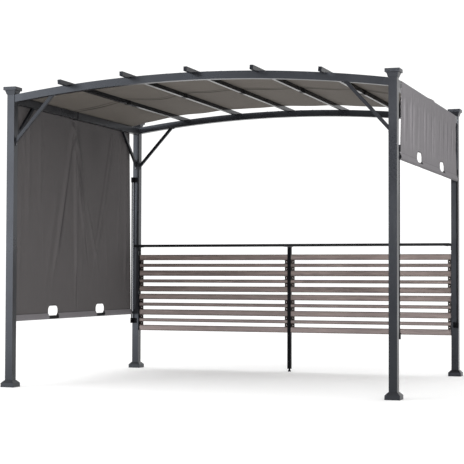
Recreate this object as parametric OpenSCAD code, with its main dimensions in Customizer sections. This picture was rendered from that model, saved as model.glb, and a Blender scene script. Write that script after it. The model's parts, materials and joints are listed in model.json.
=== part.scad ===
// Hot tub pergola: four posts, two shallow arches, five rafters, a cloth roof
// whose long drape and short drape hang on the two sides, a narrow shelf and
// four slatted screens across the back.
// Lengths are millimetres. X runs left to right along the arches, Y runs from
// the open front to the back, Z is up. The origin is the middle of the
// footprint, on the ground.

/* [Posts] */
// Distance between post centres, left to right
span_x = 2960; // [2400:10:3600]
// Distance between post centres, front to back
span_y = 2400; // [2000:10:3000]
// Height from the ground to the top of a post cap
cap_top_z = 2280; // [2100:10:2600]
// Width of a square post
post_w = 60; // [52:1:70]
// Wall of a post tube
post_wall = 2; // [1.5:0.1:4]
// Width of the square plate under a post
foot_plate_w = 100; // [98:1:103]
// Thickness of the plate under a post
foot_plate_t = 5; // [4:0.5:10]
// Distance between anchor holes in a foot plate, both ways
anchor_pitch = 80; // [80:1:86]
// Radius of an anchor hole
anchor_hole_r = 4.5; // [3:0.1:5]

/* [Post caps and base covers] */
// Width of the square plate on top of a post cap
cap_w = 106; // [100:1:130]
// Thickness of the square plate on top of a post cap
cap_plate_h = 26; // [10:1:40]
// Height of the flared neck under the cap plate
cap_neck_h = 32; // [20:1:60]
// Width of the neck where it meets the cap plate
cap_neck_w = 88; // [84:1:98]
// Wall of the neck where it closes on the post
cap_lip = 3; // [2:0.5:6]
// Clearance between a post and the cap or cover round it
post_clear = 0.4; // [0.2:0.1:0.9]
// Outer width of a base cover
cover_w = 109; // [109:1:130]
// Height of the upright part of a base cover
cover_skirt_h = 30; // [16:1:40]
// Height of the sloping part of a base cover
cover_slope_h = 22; // [14:1:40]
// Wall of a base cover
cover_wall = 2.5; // [1.5:0.1:3]

/* [Arches] */
// Distance from the neck of a cap down to the top of an arch where it meets the post
arch_drop = 1; // [1:1:40]
// Rise of an arch from its ends to its middle
arch_rise = 104; // [60:1:200]
// Height of an arch tube
arch_h = 56; // [40:1:70]
// Depth of an arch tube, front to back
arch_d = 50; // [40:1:52]
// Wall of an arch tube or a side beam tube
beam_wall = 2; // [1.5:0.1:4]
// Length of the sleeve inside the middle joint of an arch
arch_sleeve_len = 520; // [460:10:700]
// Distance from the middle joint to the inner arch bolt
arch_bolt_near = 106; // [60:1:120]
// Distance from the middle joint to the outer arch bolt
arch_bolt_far = 212; // [180:1:225]
// Open line at a tube joint
joint_gap = 1.5; // [0.5:0.1:3]
// Clearance between a tube and the sleeve in it
sleeve_clear = 0.3; // [0.1:0.1:0.6]

/* [Side beams] */
// Distance from the neck of a cap down to the top of a side beam
side_drop = 10; // [2:1:40]
// Height of a side beam tube
side_h = 56; // [40:1:70]
// Width of a side beam tube
side_d = 50; // [40:1:52]
// Distance from the middle of a side beam to its joint
side_joint = 115; // [0:5:300]
// Length of the sleeve inside a side beam joint
side_sleeve_len = 200; // [100:10:400]

/* [Knee braces] */
// Reach of an arch brace along the arch, from the post face
arch_brace_reach = 305; // [200:1:400]
// Drop of an arch brace down the post, from the underside of the arch
arch_brace_drop = 336; // [220:1:450]
// Reach of a side brace along the side beam, from the post face
side_brace_reach = 299; // [200:1:400]
// Drop of a side brace down the post, from the underside of the side beam
side_brace_drop = 288; // [200:1:400]
// Width of a brace bar, seen from the side
brace_w = 25; // [14:1:30]
// Thickness of a brace bar
brace_t = 20; // [12:1:24]
// Thickness of the tab at each end of a brace
tab_t = 4; // [3:0.5:6]
// Length of the tab at each end of a brace, past the bar
tab_len = 36; // [34:1:45]
// Radius of a brace bolt's shank
knee_bolt_r = 3; // [2:0.1:4]

/* [Rafters] */
// Number of rafters
rafter_count = 5; // [5:1:5]
// Distance between rafters along the arch
rafter_pitch = 500; // [400:5:560]
// Width of a rafter tube
rafter_w = 25; // [20:1:60]
// Height of a rafter tube
rafter_h = 32; // [26:1:50]
// Wall of a rafter tube
rafter_wall = 2; // [1.5:0.1:3]
// Length of a rafter past the post centre line
rafter_overhang = 175; // [80:5:400]
// Depth of the notch that seats a rafter on an arch
rafter_let_in = 13; // [6:0.5:16]
// Clearance of a rafter notch beside the arch
notch_clear = 0.5; // [0.2:0.1:2]
// Length of the clip under a rafter's joint
clip_len = 70; // [40:1:120]
// Width of the strap round a side beam's joint
strap_w = 12; // [8:1:30]

/* [Cloth] */
// Thickness of the cloth
cloth_t = 2; // [1.6:0.1:3]
// Distance from the post centres in to the front and back edges of the roof
roof_edge_in = 195; // [100:1:300]
// Distance from the post centres in to the edges of a drape where it leaves the roof
drape_top_in = 128; // [100:1:300]
// Distance from the post centres in to the edges of a drape at its hem
hem_edge_in = 80; // [75:1:200]
// Distance from the post centres in to where the roof's width starts to change
roof_taper_in = 160; // [100:5:400]
// Clearance between cloth and what it lies on or hangs beside
cloth_clear = 0.3; // [0.2:0.05:0.8]
// Height of the plain band above the hem tube that holds the hand holes
band_h = 133; // [120:1:200]
// Width of a hand hole
hole_w = 170; // [100:1:220]
// Height of a hand hole above the hem pocket
hole_h = 76; // [50:1:90]
// Distance of a hand hole from the middle of the hem
hole_y = 450; // [200:5:700]
// Radius of the two upper corners of a hand hole
hole_r = 36; // [10:1:40]
// Depth of the cloth folds
fold_depth = 9; // [0:0.5:12]

/* [Hems and guide rods] */
// Open height between a guide at the foot of its run and the lower bracket
low_gap = 39; // [10:1:80]
// Open height between a guide at the head of its run and the upper bracket
top_gap = 28; // [10:1:80]
// Outer radius of a hem tube
hem_r = 12.5; // [9:0.5:14]
// Wall of a hem tube
hem_wall = 1.5; // [1:0.1:3]
// Radius of a guide rod
rod_r = 5.5; // [4:0.1:7]
// Distance of a guide rod outside the post centre, left to right
rod_out = 26; // [20:1:27]
// Distance of a guide rod inside the post centre, front to back
rod_in = 57; // [52:1:65]
// Length of a guide rod
rod_len = 1333; // [1200:1:1400]
// Distance from the lower end of a side brace down to the upper rod bracket
bracket_drop = 75; // [20:1:200]
// Height of a rod bracket
bracket_h = 46; // [24:1:50]
// Height of the guide at each end of a hem tube
guide_h = 22; // [14:1:30]
// Wall of a guide round its rod
guide_wall = 5; // [3:0.5:6]
// Running clearance of a guide round its rod
guide_clear = 0.5; // [0.2:0.05:1]

/* [Shelf] */
// Height of the top of the shelf
shelf_top_z = 1131; // [1120:1:1200]
// Thickness of the shelf
shelf_t = 20; // [12:1:30]
// Reach of the shelf in front of the post centre line
shelf_front = 150; // [100:5:300]
// Reach of the shelf behind the post centre line
shelf_back = 30; // [25:1:60]
// Open line between the two shelf boards
board_gap = 1; // [0.5:0.1:3]
// Width of the centre post
centre_w = 32; // [25:1:50]
// Height of the foot under the centre post
centre_foot_h = 30; // [20:1:60]

/* [Slat screens] */
// Height of the lowest slat's lower edge
screen_low_z = 345; // [200:1:345]
// Height of a wide slat
wide_slat_h = 50; // [40:1:54]
// Height of a narrow slat
narrow_slat_h = 30; // [20:1:34]
// Open height between two slats
slat_gap = 31.75; // [20:0.25:34]
// Open height between the upper and the lower screen
screen_gap = 21; // [10:1:24]
// Thickness of a slat
slat_t = 14; // [10:1:18]
// Width of a stile behind the slat ends
stile_w = 28; // [20:1:40]
// Thickness of a stile
stile_t = 12; // [8:1:16]
// Clearance at a screen's ends
screen_clear = 0.3; // [0.2:0.1:0.9]
// Width of the mounting strip on a post
strip_w = 24; // [18:1:28]
// Thickness of the mounting strip
strip_t = 3; // [2:0.5:5]
// Distance between the bosses on a mounting strip
boss_pitch = 28; // [24:1:40]
// Radius of a boss on a mounting strip
boss_r = 7; // [5:0.5:9]
// Height of a boss above its strip
boss_h = 3; // [1:0.5:5]

/* [Hidden] */

// Colours
frame_grey = "#4b4d52";
dark_metal = "#1d1e20";
steel = "#8d9094";
cloth_grey = "#7f7a78";
slat_brown = "#7a6a66";
stile_brown = "#3c302d";

// Smoothness of round parts
round_fn = 48;
arc_fn = 720;

// Post centres and faces
post_x = span_x / 2;
post_y = span_y / 2;
face_x = post_x - post_w / 2;
face_y = post_y - post_w / 2;
corners = [[-1, -1], [1, -1], [-1, 1], [1, 1]];

// Caps and posts
cap_under_z = cap_top_z - cap_plate_h;
neck_low_z = cap_under_z - cap_neck_h;
cap_seat_gap = 0.3;
post_top_z = cap_under_z - cap_seat_gap;
socket_w = post_w + 2 * post_clear;

// Arch circle, seen from the front
arch_r = (face_x * face_x + arch_rise * arch_rise) / (2 * arch_rise);
arch_end_z = neck_low_z - arch_drop;
arch_top_z = arch_end_z + arch_rise;
arch_c_z = arch_top_z - arch_r;
function arch_z(x) = arch_c_z + sqrt(arch_r * arch_r - x * x);
function arch_under_z(x) = arch_c_z + sqrt(pow(arch_r - arch_h, 2) - x * x);

// Bolts and screws
bolt_head_r = 6.5;
bolt_head_h = 4;
bolt_r = 3.9;
bolt_clear = 0.2;
screw_r = 2;
screw_head_r = 4;
screw_head_h = 2;
bolt_grip = 6;

// Rafters
rafter_seat = 0.05;
rafter_end_t = 3;
rafter_y = post_y + rafter_overhang;
clip_t = 2;
clip_clear = 0.2;
clip_lip = 3;
strap_lip = 10;
function rafter_x(k) = (k - (rafter_count + 1) / 2) * rafter_pitch;
function rafter_a(k) = asin(rafter_x(k) / arch_r);
rafter_top_r = arch_r - rafter_let_in + rafter_h;

// Side beams
side_top_z = neck_low_z - side_drop;
side_out_x = post_x + side_d / 2;
side_low_z = side_top_z - side_h;

// Cloth roof, drawn as its mid line in the XZ plane
roof_w = span_y - 2 * roof_edge_in;
drape_top_w = span_y - 2 * drape_top_in;
hem_w = span_y - 2 * hem_edge_in;
roof_taper_x = post_x - roof_taper_in;
cloth_r = rafter_top_r + cloth_clear + cloth_t / 2;
edge_r = cloth_clear + cloth_t / 2;
roof_edge_drop = 6;
outer_rafter_a = rafter_a(rafter_count) + asin(rafter_w / 2 / cloth_r);
roof_arc_steps = 32;
corner_steps = 6;
edge_x = cloth_r * sin(outer_rafter_a);
edge_z = arch_c_z + cloth_r * cos(outer_rafter_a);
lean_a = atan((edge_z - side_top_z - edge_r) / (side_out_x - edge_x));
roof_low_z = side_top_z - roof_edge_drop;

// Hems
rod_x = post_x + rod_out;
rod_y = post_y - rod_in;
pocket_clear = 0.5;
bracket_wall = 5;
bracket_plate_t = 4;
bracket_plate_w = 44;
bracket_edge = 1;
bracket_floor = 6;
rod_fit = 0.1;
rod_seat = 0.3;
pocket_in = hem_r + pocket_clear;
pocket_out = pocket_in + cloth_t;
guide_bore = rod_r + guide_clear;
guide_r = guide_bore + guide_wall;
hem_top_mid_x = side_out_x + edge_r;
bracket_boss_r = rod_r + bracket_wall;
bracket_top_z = side_low_z - side_brace_drop - tab_len - bracket_drop;
rod_top_z = bracket_top_z - bracket_floor - rod_seat;
rod_low_z = rod_top_z - rod_len;
bracket_low_z = rod_low_z - rod_seat - bracket_floor;
left_hem_z = bracket_low_z + bracket_h + low_gap + guide_h / 2;
right_hem_z = bracket_top_z - bracket_h - top_gap - guide_h / 2;

// Shelf and screens
shelf_low_z = shelf_top_z - shelf_t;
centre_plate_t = 5;
centre_plate_over = 4;
centre_foot_r = 14;
screen_h = 3 * wide_slat_h + 2 * narrow_slat_h + 4 * slat_gap;
upper_low_z = screen_low_z + screen_h + screen_gap;
screen_top_z = upper_low_z + screen_h;
screen_out_x = face_x - strip_t - boss_h - screen_clear;
screen_in_x = centre_w / 2 + screen_clear;
slat_front_y = post_y - slat_t;
slat_zs = [
    0,
    wide_slat_h + slat_gap,
    wide_slat_h + narrow_slat_h + 2 * slat_gap,
    2 * wide_slat_h + narrow_slat_h + 3 * slat_gap,
    2 * wide_slat_h + 2 * narrow_slat_h + 4 * slat_gap
];
slat_hs = [wide_slat_h, narrow_slat_h, wide_slat_h, narrow_slat_h, wide_slat_h];
strip_low_z = screen_low_z;
strip_top_z = shelf_low_z - 2;
boss_count = floor((strip_top_z - strip_low_z - 2 * boss_r) / boss_pitch) + 1;

// Small helpers

module box_at(x0, x1, y0, y1, z0, z1)
    translate([x0, y0, z0]) cube([x1 - x0, y1 - y0, z1 - z0]);

// A square block whose width changes from the bottom to the top
module flare(low_w, top_w, z0, z1) {
    outline = [[-low_w / 2, z0], [low_w / 2, z0], [top_w / 2, z1], [-top_w / 2, z1]];
    wide = max(low_w, top_w) / 2 + 1;
    intersection() {
        rotate([90, 0, 0]) translate([0, 0, -wide]) linear_extrude(2 * wide) polygon(outline);
        rotate([90, 0, 90]) translate([0, 0, -wide]) linear_extrude(2 * wide) polygon(outline);
    }
}

// The upper half of a ring that follows the arch circle
module arch_ring(r_out, h, d)
    translate([0, 0, arch_c_z]) rotate([90, 0, 0]) rotate_extrude(angle = 180, $fn = arc_fn)
        translate([r_out - h, -d / 2]) square([h, d]);

// Puts something on the arch circle at angle a and radius r, standing radially
module on_arch(a, r) translate([0, 0, arch_c_z]) rotate([0, a, 0]) translate([0, 0, r]) children();

// A bolt with a low round head, standing on z = 0 with its shank below
module bolt(r, head_r, head_h, grip) {
    cylinder(r = head_r, h = head_h, $fn = round_fn);
    translate([0, 0, -grip]) cylinder(r = r, h = grip + head_h / 2, $fn = round_fn);
}

// Posts

module post_at(sx, sy) color(frame_grey) translate([sx * post_x, sy * post_y, 0]) {
    difference() {
        union() {
            box_at(-post_w / 2, post_w / 2, -post_w / 2, post_w / 2, 0, post_top_z);
            box_at(-foot_plate_w / 2, foot_plate_w / 2, -foot_plate_w / 2, foot_plate_w / 2,
                0, foot_plate_t);
        }
        box_at(-post_w / 2 + post_wall, post_w / 2 - post_wall,
            -post_w / 2 + post_wall, post_w / 2 - post_wall, foot_plate_t, post_top_z + 1);
        for (c = corners) translate([c[0] * anchor_pitch / 2, c[1] * anchor_pitch / 2, -1])
            cylinder(r = anchor_hole_r, h = foot_plate_t + 2, $fn = round_fn);
        // holes for the two brace bolts, through the wall that each brace stands on
        knee_holes_in_post(sx, sy);
    }
}

module front_left_post() post_at(-1, -1);
module front_right_post() post_at(1, -1);
module back_left_post() post_at(-1, 1);
module back_right_post() post_at(1, 1);

module cap_at(sx, sy) color(frame_grey) translate([sx * post_x, sy * post_y, 0]) {
    box_at(-cap_w / 2, cap_w / 2, -cap_w / 2, cap_w / 2, cap_under_z, cap_top_z);
    difference() {
        flare(socket_w + 2 * cap_lip, cap_neck_w, neck_low_z, cap_under_z);
        box_at(-socket_w / 2, socket_w / 2, -socket_w / 2, socket_w / 2,
            neck_low_z - 1, cap_under_z);
    }
}

module front_left_cap() cap_at(-1, -1);
module front_right_cap() cap_at(1, -1);
module back_left_cap() cap_at(-1, 1);
module back_right_cap() cap_at(1, 1);

module base_cover_at(sx, sy) color(frame_grey) translate([sx * post_x, sy * post_y, 0]) {
    top_w = socket_w + 2 * cover_wall;
    cover_h = cover_skirt_h + cover_slope_h;
    difference() {
        union() {
            box_at(-cover_w / 2, cover_w / 2, -cover_w / 2, cover_w / 2, 0, cover_skirt_h);
            flare(cover_w, top_w, cover_skirt_h, cover_h);
        }
        box_at(-cover_w / 2 + cover_wall, cover_w / 2 - cover_wall,
            -cover_w / 2 + cover_wall, cover_w / 2 - cover_wall, -1, cover_skirt_h - cover_wall);
        flare(cover_w - 2 * cover_wall, socket_w,
            cover_skirt_h - cover_wall - 0.01, cover_h - cover_wall);
        box_at(-socket_w / 2, socket_w / 2, -socket_w / 2, socket_w / 2, -1, cover_h + 1);
    }
}

module front_left_base_cover() base_cover_at(-1, -1);
module front_right_base_cover() base_cover_at(1, -1);
module back_left_base_cover() base_cover_at(-1, 1);
module back_right_base_cover() base_cover_at(1, 1);

// Arches, each made of two lengths joined at the middle

module arch_bolt_places() for (s = [-1, 1]) for (x = [arch_bolt_near, arch_bolt_far])
    on_arch(asin(s * x / arch_r), arch_r) children();

module rafter_bolt_places() for (k = [1:rafter_count]) on_arch(rafter_a(k), arch_r) children();

module bolt_hole() translate([0, 0, -bolt_grip - beam_wall - sleeve_clear])
    cylinder(r = bolt_r + bolt_clear, h = bolt_grip + beam_wall + 1, $fn = round_fn);

module arch_half(sy, sx) color(frame_grey) translate([0, sy * post_y, 0]) {
    low = arch_end_z - arch_h - arch_rise;
    difference() {
        intersection() {
            difference() {
                arch_ring(arch_r, arch_h, arch_d);
                arch_ring(arch_r - beam_wall, arch_h - 2 * beam_wall, arch_d - 2 * beam_wall);
            }
            if (sx < 0) box_at(-face_x, -joint_gap / 2, -arch_d, arch_d, low, arch_top_z + 1);
            else box_at(joint_gap / 2, face_x, -arch_d, arch_d, low, arch_top_z + 1);
        }
        arch_bolt_places() bolt_hole();
        rafter_bolt_places() bolt_hole();
        knee_holes_in_arch(sx);
    }
}

module front_arch_left() arch_half(-1, -1);
module front_arch_right() arch_half(-1, 1);
module back_arch_left() arch_half(1, -1);
module back_arch_right() arch_half(1, 1);

module arch_sleeves() color(steel) for (sy = [-1, 1]) translate([0, sy * post_y, 0]) {
    inset = beam_wall + sleeve_clear;
    half = arch_sleeve_len / 2;
    difference() {
        intersection() {
            arch_ring(arch_r - inset, arch_h - 2 * inset, arch_d - 2 * inset);
            box_at(-half, half, -arch_d, arch_d, arch_end_z - arch_h, arch_top_z);
        }
        arch_ring(arch_r - inset - beam_wall, arch_h - 2 * inset - 2 * beam_wall,
            arch_d - 2 * inset - 2 * beam_wall);
        arch_bolt_places() bolt_hole();
        rafter_bolt_places() bolt_hole();
    }
}

module arch_bolts() color(steel) for (sy = [-1, 1]) translate([0, sy * post_y, 0])
    arch_bolt_places() translate([0, 0, rafter_seat]) bolt(bolt_r, bolt_head_r, bolt_head_h, bolt_grip);

// Side beams, each made of a short and a long length

module side_beam(sx, y0, y1) color(frame_grey) difference() {
    box_at(sx * post_x - side_d / 2, sx * post_x + side_d / 2, y0, y1, side_low_z, side_top_z);
    box_at(sx * post_x - side_d / 2 + beam_wall, sx * post_x + side_d / 2 - beam_wall,
        y0 - 1, y1 + 1, side_low_z + beam_wall, side_top_z - beam_wall);
    knee_holes_in_beam(sx);
}

module left_beam_front() side_beam(-1, -face_y, -side_joint - joint_gap / 2);
module left_beam_back() side_beam(-1, -side_joint + joint_gap / 2, face_y);
module right_beam_front() side_beam(1, -face_y, side_joint - joint_gap / 2);
module right_beam_back() side_beam(1, side_joint + joint_gap / 2, face_y);

module beam_sleeves() color(steel) for (sx = [-1, 1]) {
    inset = beam_wall + sleeve_clear;
    half = side_d / 2 - inset;
    mid_y = sx * side_joint;
    translate([sx * post_x, mid_y, 0]) difference() {
        box_at(-half, half, -side_sleeve_len / 2, side_sleeve_len / 2,
            side_low_z + inset, side_top_z - inset);
        box_at(-half + beam_wall, half - beam_wall,
            -side_sleeve_len / 2 - 1, side_sleeve_len / 2 + 1,
            side_low_z + inset + beam_wall, side_top_z - inset - beam_wall);
    }
}

// Knee braces, drawn in the XZ plane with the post face at x = 0.
// A brace is given as its reach, its drop, the height of its head and the slope of the beam.

arch_head_x = face_x - arch_brace_reach;
arch_tab_a = asin(arch_head_x / (arch_r - arch_h));
arch_brace = [arch_brace_reach, arch_brace_drop, arch_under_z(arch_head_x), arch_tab_a];
side_brace = [side_brace_reach, side_brace_drop, side_low_z, 0];
tab_seat = 0.1;
tab_bolt_at = tab_len - 12;
knee_head_r = 5.5;
knee_head_h = 3;
knee_grip = tab_t + tab_seat + post_wall + 3;
knee_hole_r = knee_bolt_r + bolt_clear;

// Where the two ends of a brace meet the post and the beam
module brace_foot(b) translate([tab_seat, 0, b[2] - b[1]]) children();
module brace_head(b) translate([b[0], 0, b[2]]) rotate([0, -b[3], 0])
    translate([0, 0, -tab_seat]) children();

// Outline of a brace: down its lower edge, along the head tab and back along the upper edge
function brace_points(b) = let (
    reach = b[0],
    head_z = b[2],
    foot_z = b[2] - b[1],
    rise = b[1] / b[0],
    half = brace_w / 2 / cos(atan(rise)),
    tilt = tan(b[3]),
    face = head_z - reach * tilt - tab_seat / cos(b[3]),
    under = face - tab_t / cos(b[3]),
    end_x = reach + tab_len * cos(b[3]),
    low_x = (under - foot_z + half) / (rise - tilt),
    high_x = (face - foot_z - half) / (rise - tilt)
) [
    [tab_seat, foot_z - tab_len],
    [tab_seat + tab_t, foot_z - tab_len],
    [tab_seat + tab_t, foot_z + (tab_seat + tab_t) * rise - half],
    [low_x, under + low_x * tilt],
    [end_x, under + end_x * tilt],
    [end_x, face + end_x * tilt],
    [high_x, face + high_x * tilt],
    [tab_seat, foot_z + tab_seat * rise + half]
];

module brace(b) difference() {
    rotate([90, 0, 0]) linear_extrude(brace_t, center = true) polygon(brace_points(b));
    knee_bolt_holes(b);
}

// The places of a brace's two bolts, on the free faces of its tabs
module knee_bolt_places(b) {
    brace_foot(b) translate([tab_t, 0, -tab_bolt_at]) rotate([0, 90, 0]) children();
    brace_head(b) translate([tab_bolt_at, 0, -tab_t]) rotate([180, 0, 0]) children();
}

module knee_bolt_holes(b) knee_bolt_places(b) translate([0, 0, -knee_grip - 1])
    cylinder(r = knee_hole_r, h = knee_grip + 2, $fn = round_fn);

// Places a brace in the plane of an arch or of a side beam at corner (sx, sy)
module arch_brace_place(sx, sy) translate([sx * face_x, sy * post_y, 0])
    mirror([sx > 0 ? 1 : 0, 0, 0]) children();
module side_brace_place(sx, sy) translate([sx * post_x, sy * face_y, 0])
    mirror([0, sy > 0 ? 1 : 0, 0]) rotate([0, 0, 90]) children();

module front_knee_braces() color(frame_grey) for (sx = [-1, 1])
    arch_brace_place(sx, -1) brace(arch_brace);
module back_knee_braces() color(frame_grey) for (sx = [-1, 1])
    arch_brace_place(sx, 1) brace(arch_brace);
module left_knee_braces() color(frame_grey) for (sy = [-1, 1])
    side_brace_place(-1, sy) brace(side_brace);
module right_knee_braces() color(frame_grey) for (sy = [-1, 1])
    side_brace_place(1, sy) brace(side_brace);

module knee_bolts() color(steel) for (c = corners) {
    arch_brace_place(c[0], c[1]) knee_bolt_places(arch_brace)
        bolt(knee_bolt_r, knee_head_r, knee_head_h, knee_grip);
    side_brace_place(c[0], c[1]) knee_bolt_places(side_brace)
        bolt(knee_bolt_r, knee_head_r, knee_head_h, knee_grip);
}

// The same holes in the posts, the arches and the side beams
module knee_holes_in_post(sx, sy) translate([-sx * post_x, -sy * post_y, 0]) {
    arch_brace_place(sx, sy) knee_bolt_holes(arch_brace);
    side_brace_place(sx, sy) knee_bolt_holes(side_brace);
}
module knee_holes_in_arch(sx) translate([sx * face_x, 0, 0]) mirror([sx > 0 ? 1 : 0, 0, 0])
    knee_bolt_holes(arch_brace);
module knee_holes_in_beam(sx) for (sy = [-1, 1])
    side_brace_place(sx, sy) knee_bolt_holes(side_brace);

// Rafters, notched over both arches

module rafter(k) color(frame_grey) on_arch(rafter_a(k), arch_r - rafter_let_in) difference() {
    box_at(-rafter_w / 2, rafter_w / 2, -rafter_y, rafter_y, 0, rafter_h);
    box_at(-rafter_w / 2 + rafter_wall, rafter_w / 2 - rafter_wall,
        -rafter_y + rafter_end_t, rafter_y - rafter_end_t, rafter_wall, rafter_h - rafter_wall);
    for (sy = [-1, 1]) {
        box_at(-rafter_w, rafter_w, sy * post_y - arch_d / 2 - notch_clear,
            sy * post_y + arch_d / 2 + notch_clear, -1, rafter_let_in + rafter_seat);
        translate([0, sy * post_y, rafter_h - rafter_wall - 1])
            cylinder(r = bolt_r + bolt_clear, h = rafter_wall + 2, $fn = round_fn);
    }
}

module rafter_1() rafter(1);
module rafter_2() rafter(2);
module rafter_3() rafter(3);
module rafter_4() rafter(4);
module rafter_5() rafter(5);

// A channel that hugs each rafter from below at its joint
module rafter_clip_set() for (k = [1:rafter_count])
    on_arch(rafter_a(k), arch_r - rafter_let_in) translate([0, -side_joint, 0]) {
        inner = rafter_w / 2 + clip_clear;
        outer = inner + clip_t;
        side_top = rafter_h - clip_lip;
        difference() {
            box_at(-outer, outer, -clip_len / 2, clip_len / 2, -clip_clear - clip_t, side_top);
            box_at(-inner, inner, -clip_len, clip_len, -clip_clear, side_top + 1);
        }
    }

// A strap that grips a side beam at its joint, from the top edge down round the inner face
module beam_strap(sx) {
    inner_x = post_x - side_d / 2 - clip_clear;
    outer_x = post_x + side_d / 2 - clip_lip;
    low_z = side_low_z - clip_clear;
    top_z = side_top_z + clip_clear;
    translate([0, sx * side_joint, 0]) mirror([sx < 0 ? 1 : 0, 0, 0]) {
        box_at(inner_x - clip_t, inner_x, -strap_w / 2, strap_w / 2, low_z - clip_t, top_z + clip_t);
        box_at(inner_x - 1, outer_x, -strap_w / 2, strap_w / 2, low_z - clip_t, low_z);
        box_at(inner_x - 1, inner_x + strap_lip, -strap_w / 2, strap_w / 2, top_z, top_z + clip_t);
    }
}

module joint_clips() color(dark_metal) {
    rafter_clip_set();
    for (sx = [-1, 1]) beam_strap(sx);
}

// Screws that hold each rafter down on both arches
module rafter_screws() color(steel) for (k = [1:rafter_count]) for (sy = [-1, 1])
    on_arch(rafter_a(k), rafter_top_r) translate([0, sy * post_y, 0])
        bolt(bolt_r, bolt_head_r, bolt_head_h, rafter_h - rafter_let_in + bolt_grip);

// Cloth roof

// Mid line of the roof from the middle to the right edge
roof_half = concat(
    [for (i = [0:roof_arc_steps / 2]) let (a = outer_rafter_a * i / (roof_arc_steps / 2))
        [cloth_r * sin(a), arch_c_z + cloth_r * cos(a)]],
    [for (i = [0:corner_steps]) let (a = lean_a + (90 - lean_a) * i / corner_steps)
        [side_out_x + edge_r * sin(a), side_top_z + edge_r * cos(a)]],
    [[side_out_x + edge_r, roof_low_z]]
);
roof_line = concat(
    [for (i = [len(roof_half) - 1:-1:1]) [-roof_half[i][0], roof_half[i][1]]],
    roof_half
);

// Unit direction square to the line at point i
function line_side(p, i) = let (
    a = p[max(i - 1, 0)],
    b = p[min(i + 1, len(p) - 1)],
    d = b - a
) [-d[1], d[0]] / norm(d);

function thick_line(p, t) = concat(
    [for (i = [0:len(p) - 1]) p[i] + line_side(p, i) * t / 2],
    [for (i = [len(p) - 1:-1:0]) p[i] - line_side(p, i) * t / 2]
);

// Outline of the roof from above, whose width changes between the outer rafters and the beams
roof_corner = [
    [roof_taper_x, roof_w / 2],
    [hem_top_mid_x, drape_top_w / 2],
    [side_out_x + 10, drape_top_w / 2]
];
roof_outline = concat(
    [for (i = [0:2]) roof_corner[i]],
    [for (i = [2:-1:0]) [roof_corner[i][0], -roof_corner[i][1]]],
    [for (i = [0:2]) -roof_corner[i]],
    [for (i = [2:-1:0]) [-roof_corner[i][0], roof_corner[i][1]]]
);

module roof_canopy() color(cloth_grey) {
    widest = max(roof_w, drape_top_w);
    tall = arch_top_z + rafter_h + 10;
    intersection() {
        rotate([90, 0, 0]) translate([0, 0, -widest / 2]) linear_extrude(widest)
            polygon(thick_line(roof_line, cloth_t));
        linear_extrude(tall) polygon(roof_outline);
    }
}

// Drapes, drawn on the right side as a grid of points across and down

function ease(t) = let (c = min(1, max(0, t))) c * c * (3 - 2 * c);
function bump(d, w) = exp(-pow(d / w, 2));

// Form of the long drape: a middle crease and soft creases that spread downwards
function long_fold(y, down) = let (
    mid = y + side_joint,
    spread = 620 * down + 60
) 0.45 - 0.45 * bump(mid, 60)
    + 0.5 * bump(mid - spread, 130)
    - 0.4 * bump(mid + spread, 130)
    + 0.35 * bump(y - 880, 70) - 0.3 * bump(y - 760, 60)
    + 0.3 * bump(y + 900, 80) - 0.25 * bump(y + 780, 70)
    + 0.12 * sin(y * 0.9 + 260 * down);

// Form of the short drape: ripples side by side
function short_fold(y, down) = 0.5 + 0.33 * sin(y * 360 / 235 + 40 * down)
    + 0.14 * sin(y * 360 / 118 + 90);

// Folds stand out from the plane of the side beam, never into it
function drape_fold(long, y, down) = 2 * fold_depth
    * ease(down * 5) * ease((1 - down) * 5)
    * max(0, long ? long_fold(y, down) : short_fold(y, down));

module drape_sheet(z_top, z_low, long, across, rows) {
    function half_w(down) = drape_top_w / 2 + (hem_w - drape_top_w) / 2 * down;
    function mid_x(down) = hem_top_mid_x + (rod_x - hem_top_mid_x) * down;
    n = across + 1;
    layer = n * (rows + 1);
    points = [for (s = [-1, 1]) for (j = [0:rows]) for (i = [0:across]) let (
        down = j / rows,
        y = half_w(down) * (2 * i / across - 1)
    ) [
        mid_x(down) + drape_fold(long, y, down) + s * cloth_t / 2,
        y,
        z_top + (z_low - z_top) * down
    ]];
    quads = concat(
        [for (j = [0:rows - 1]) for (i = [0:across - 1]) let (a = j * n + i)
            [a, a + n, a + n + 1, a + 1]],
        [for (j = [0:rows - 1]) for (i = [0:across - 1]) let (a = layer + j * n + i)
            [a, a + 1, a + n + 1, a + n]],
        [for (i = [0:across - 1]) [i, i + 1, layer + i + 1, layer + i]],
        [for (i = [0:across - 1]) let (a = rows * n + i)
            [a + 1, a, layer + a, layer + a + 1]],
        [for (j = [0:rows - 1]) let (a = j * n) [a + n, a, layer + a, layer + a + n]],
        [for (j = [0:rows - 1]) let (a = j * n + across) [a, a + n, layer + a + n, layer + a]]
    );
    faces = [for (q = quads) each [[q[0], q[1], q[2]], [q[0], q[2], q[3]]]];
    polyhedron(points, faces);
}

drape_top_z = roof_low_z - cloth_clear;

module left_drape() color(cloth_grey) mirror([1, 0, 0])
    drape_sheet(drape_top_z, left_hem_z + band_h + cloth_clear, true, 40, 14);
module right_drape() color(cloth_grey)
    drape_sheet(drape_top_z, right_hem_z + band_h + cloth_clear, false, 72, 6);

// The plain lower end of the cloth: a pocket round the tube and a band with hand holes

module hand_hole() {
    flat = hole_w / 2 - hole_r;
    rotate([90, 0, 90]) linear_extrude(4 * pocket_out, center = true) {
        translate([-hole_w / 2, pocket_out]) square([hole_w, hole_h - hole_r + cloth_t]);
        translate([-flat, pocket_out]) square([2 * flat, hole_h + cloth_t]);
        for (s = [-1, 1]) translate([s * flat, pocket_out + hole_h + cloth_t - hole_r])
            circle(r = hole_r, $fn = round_fn);
    }
}

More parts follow.
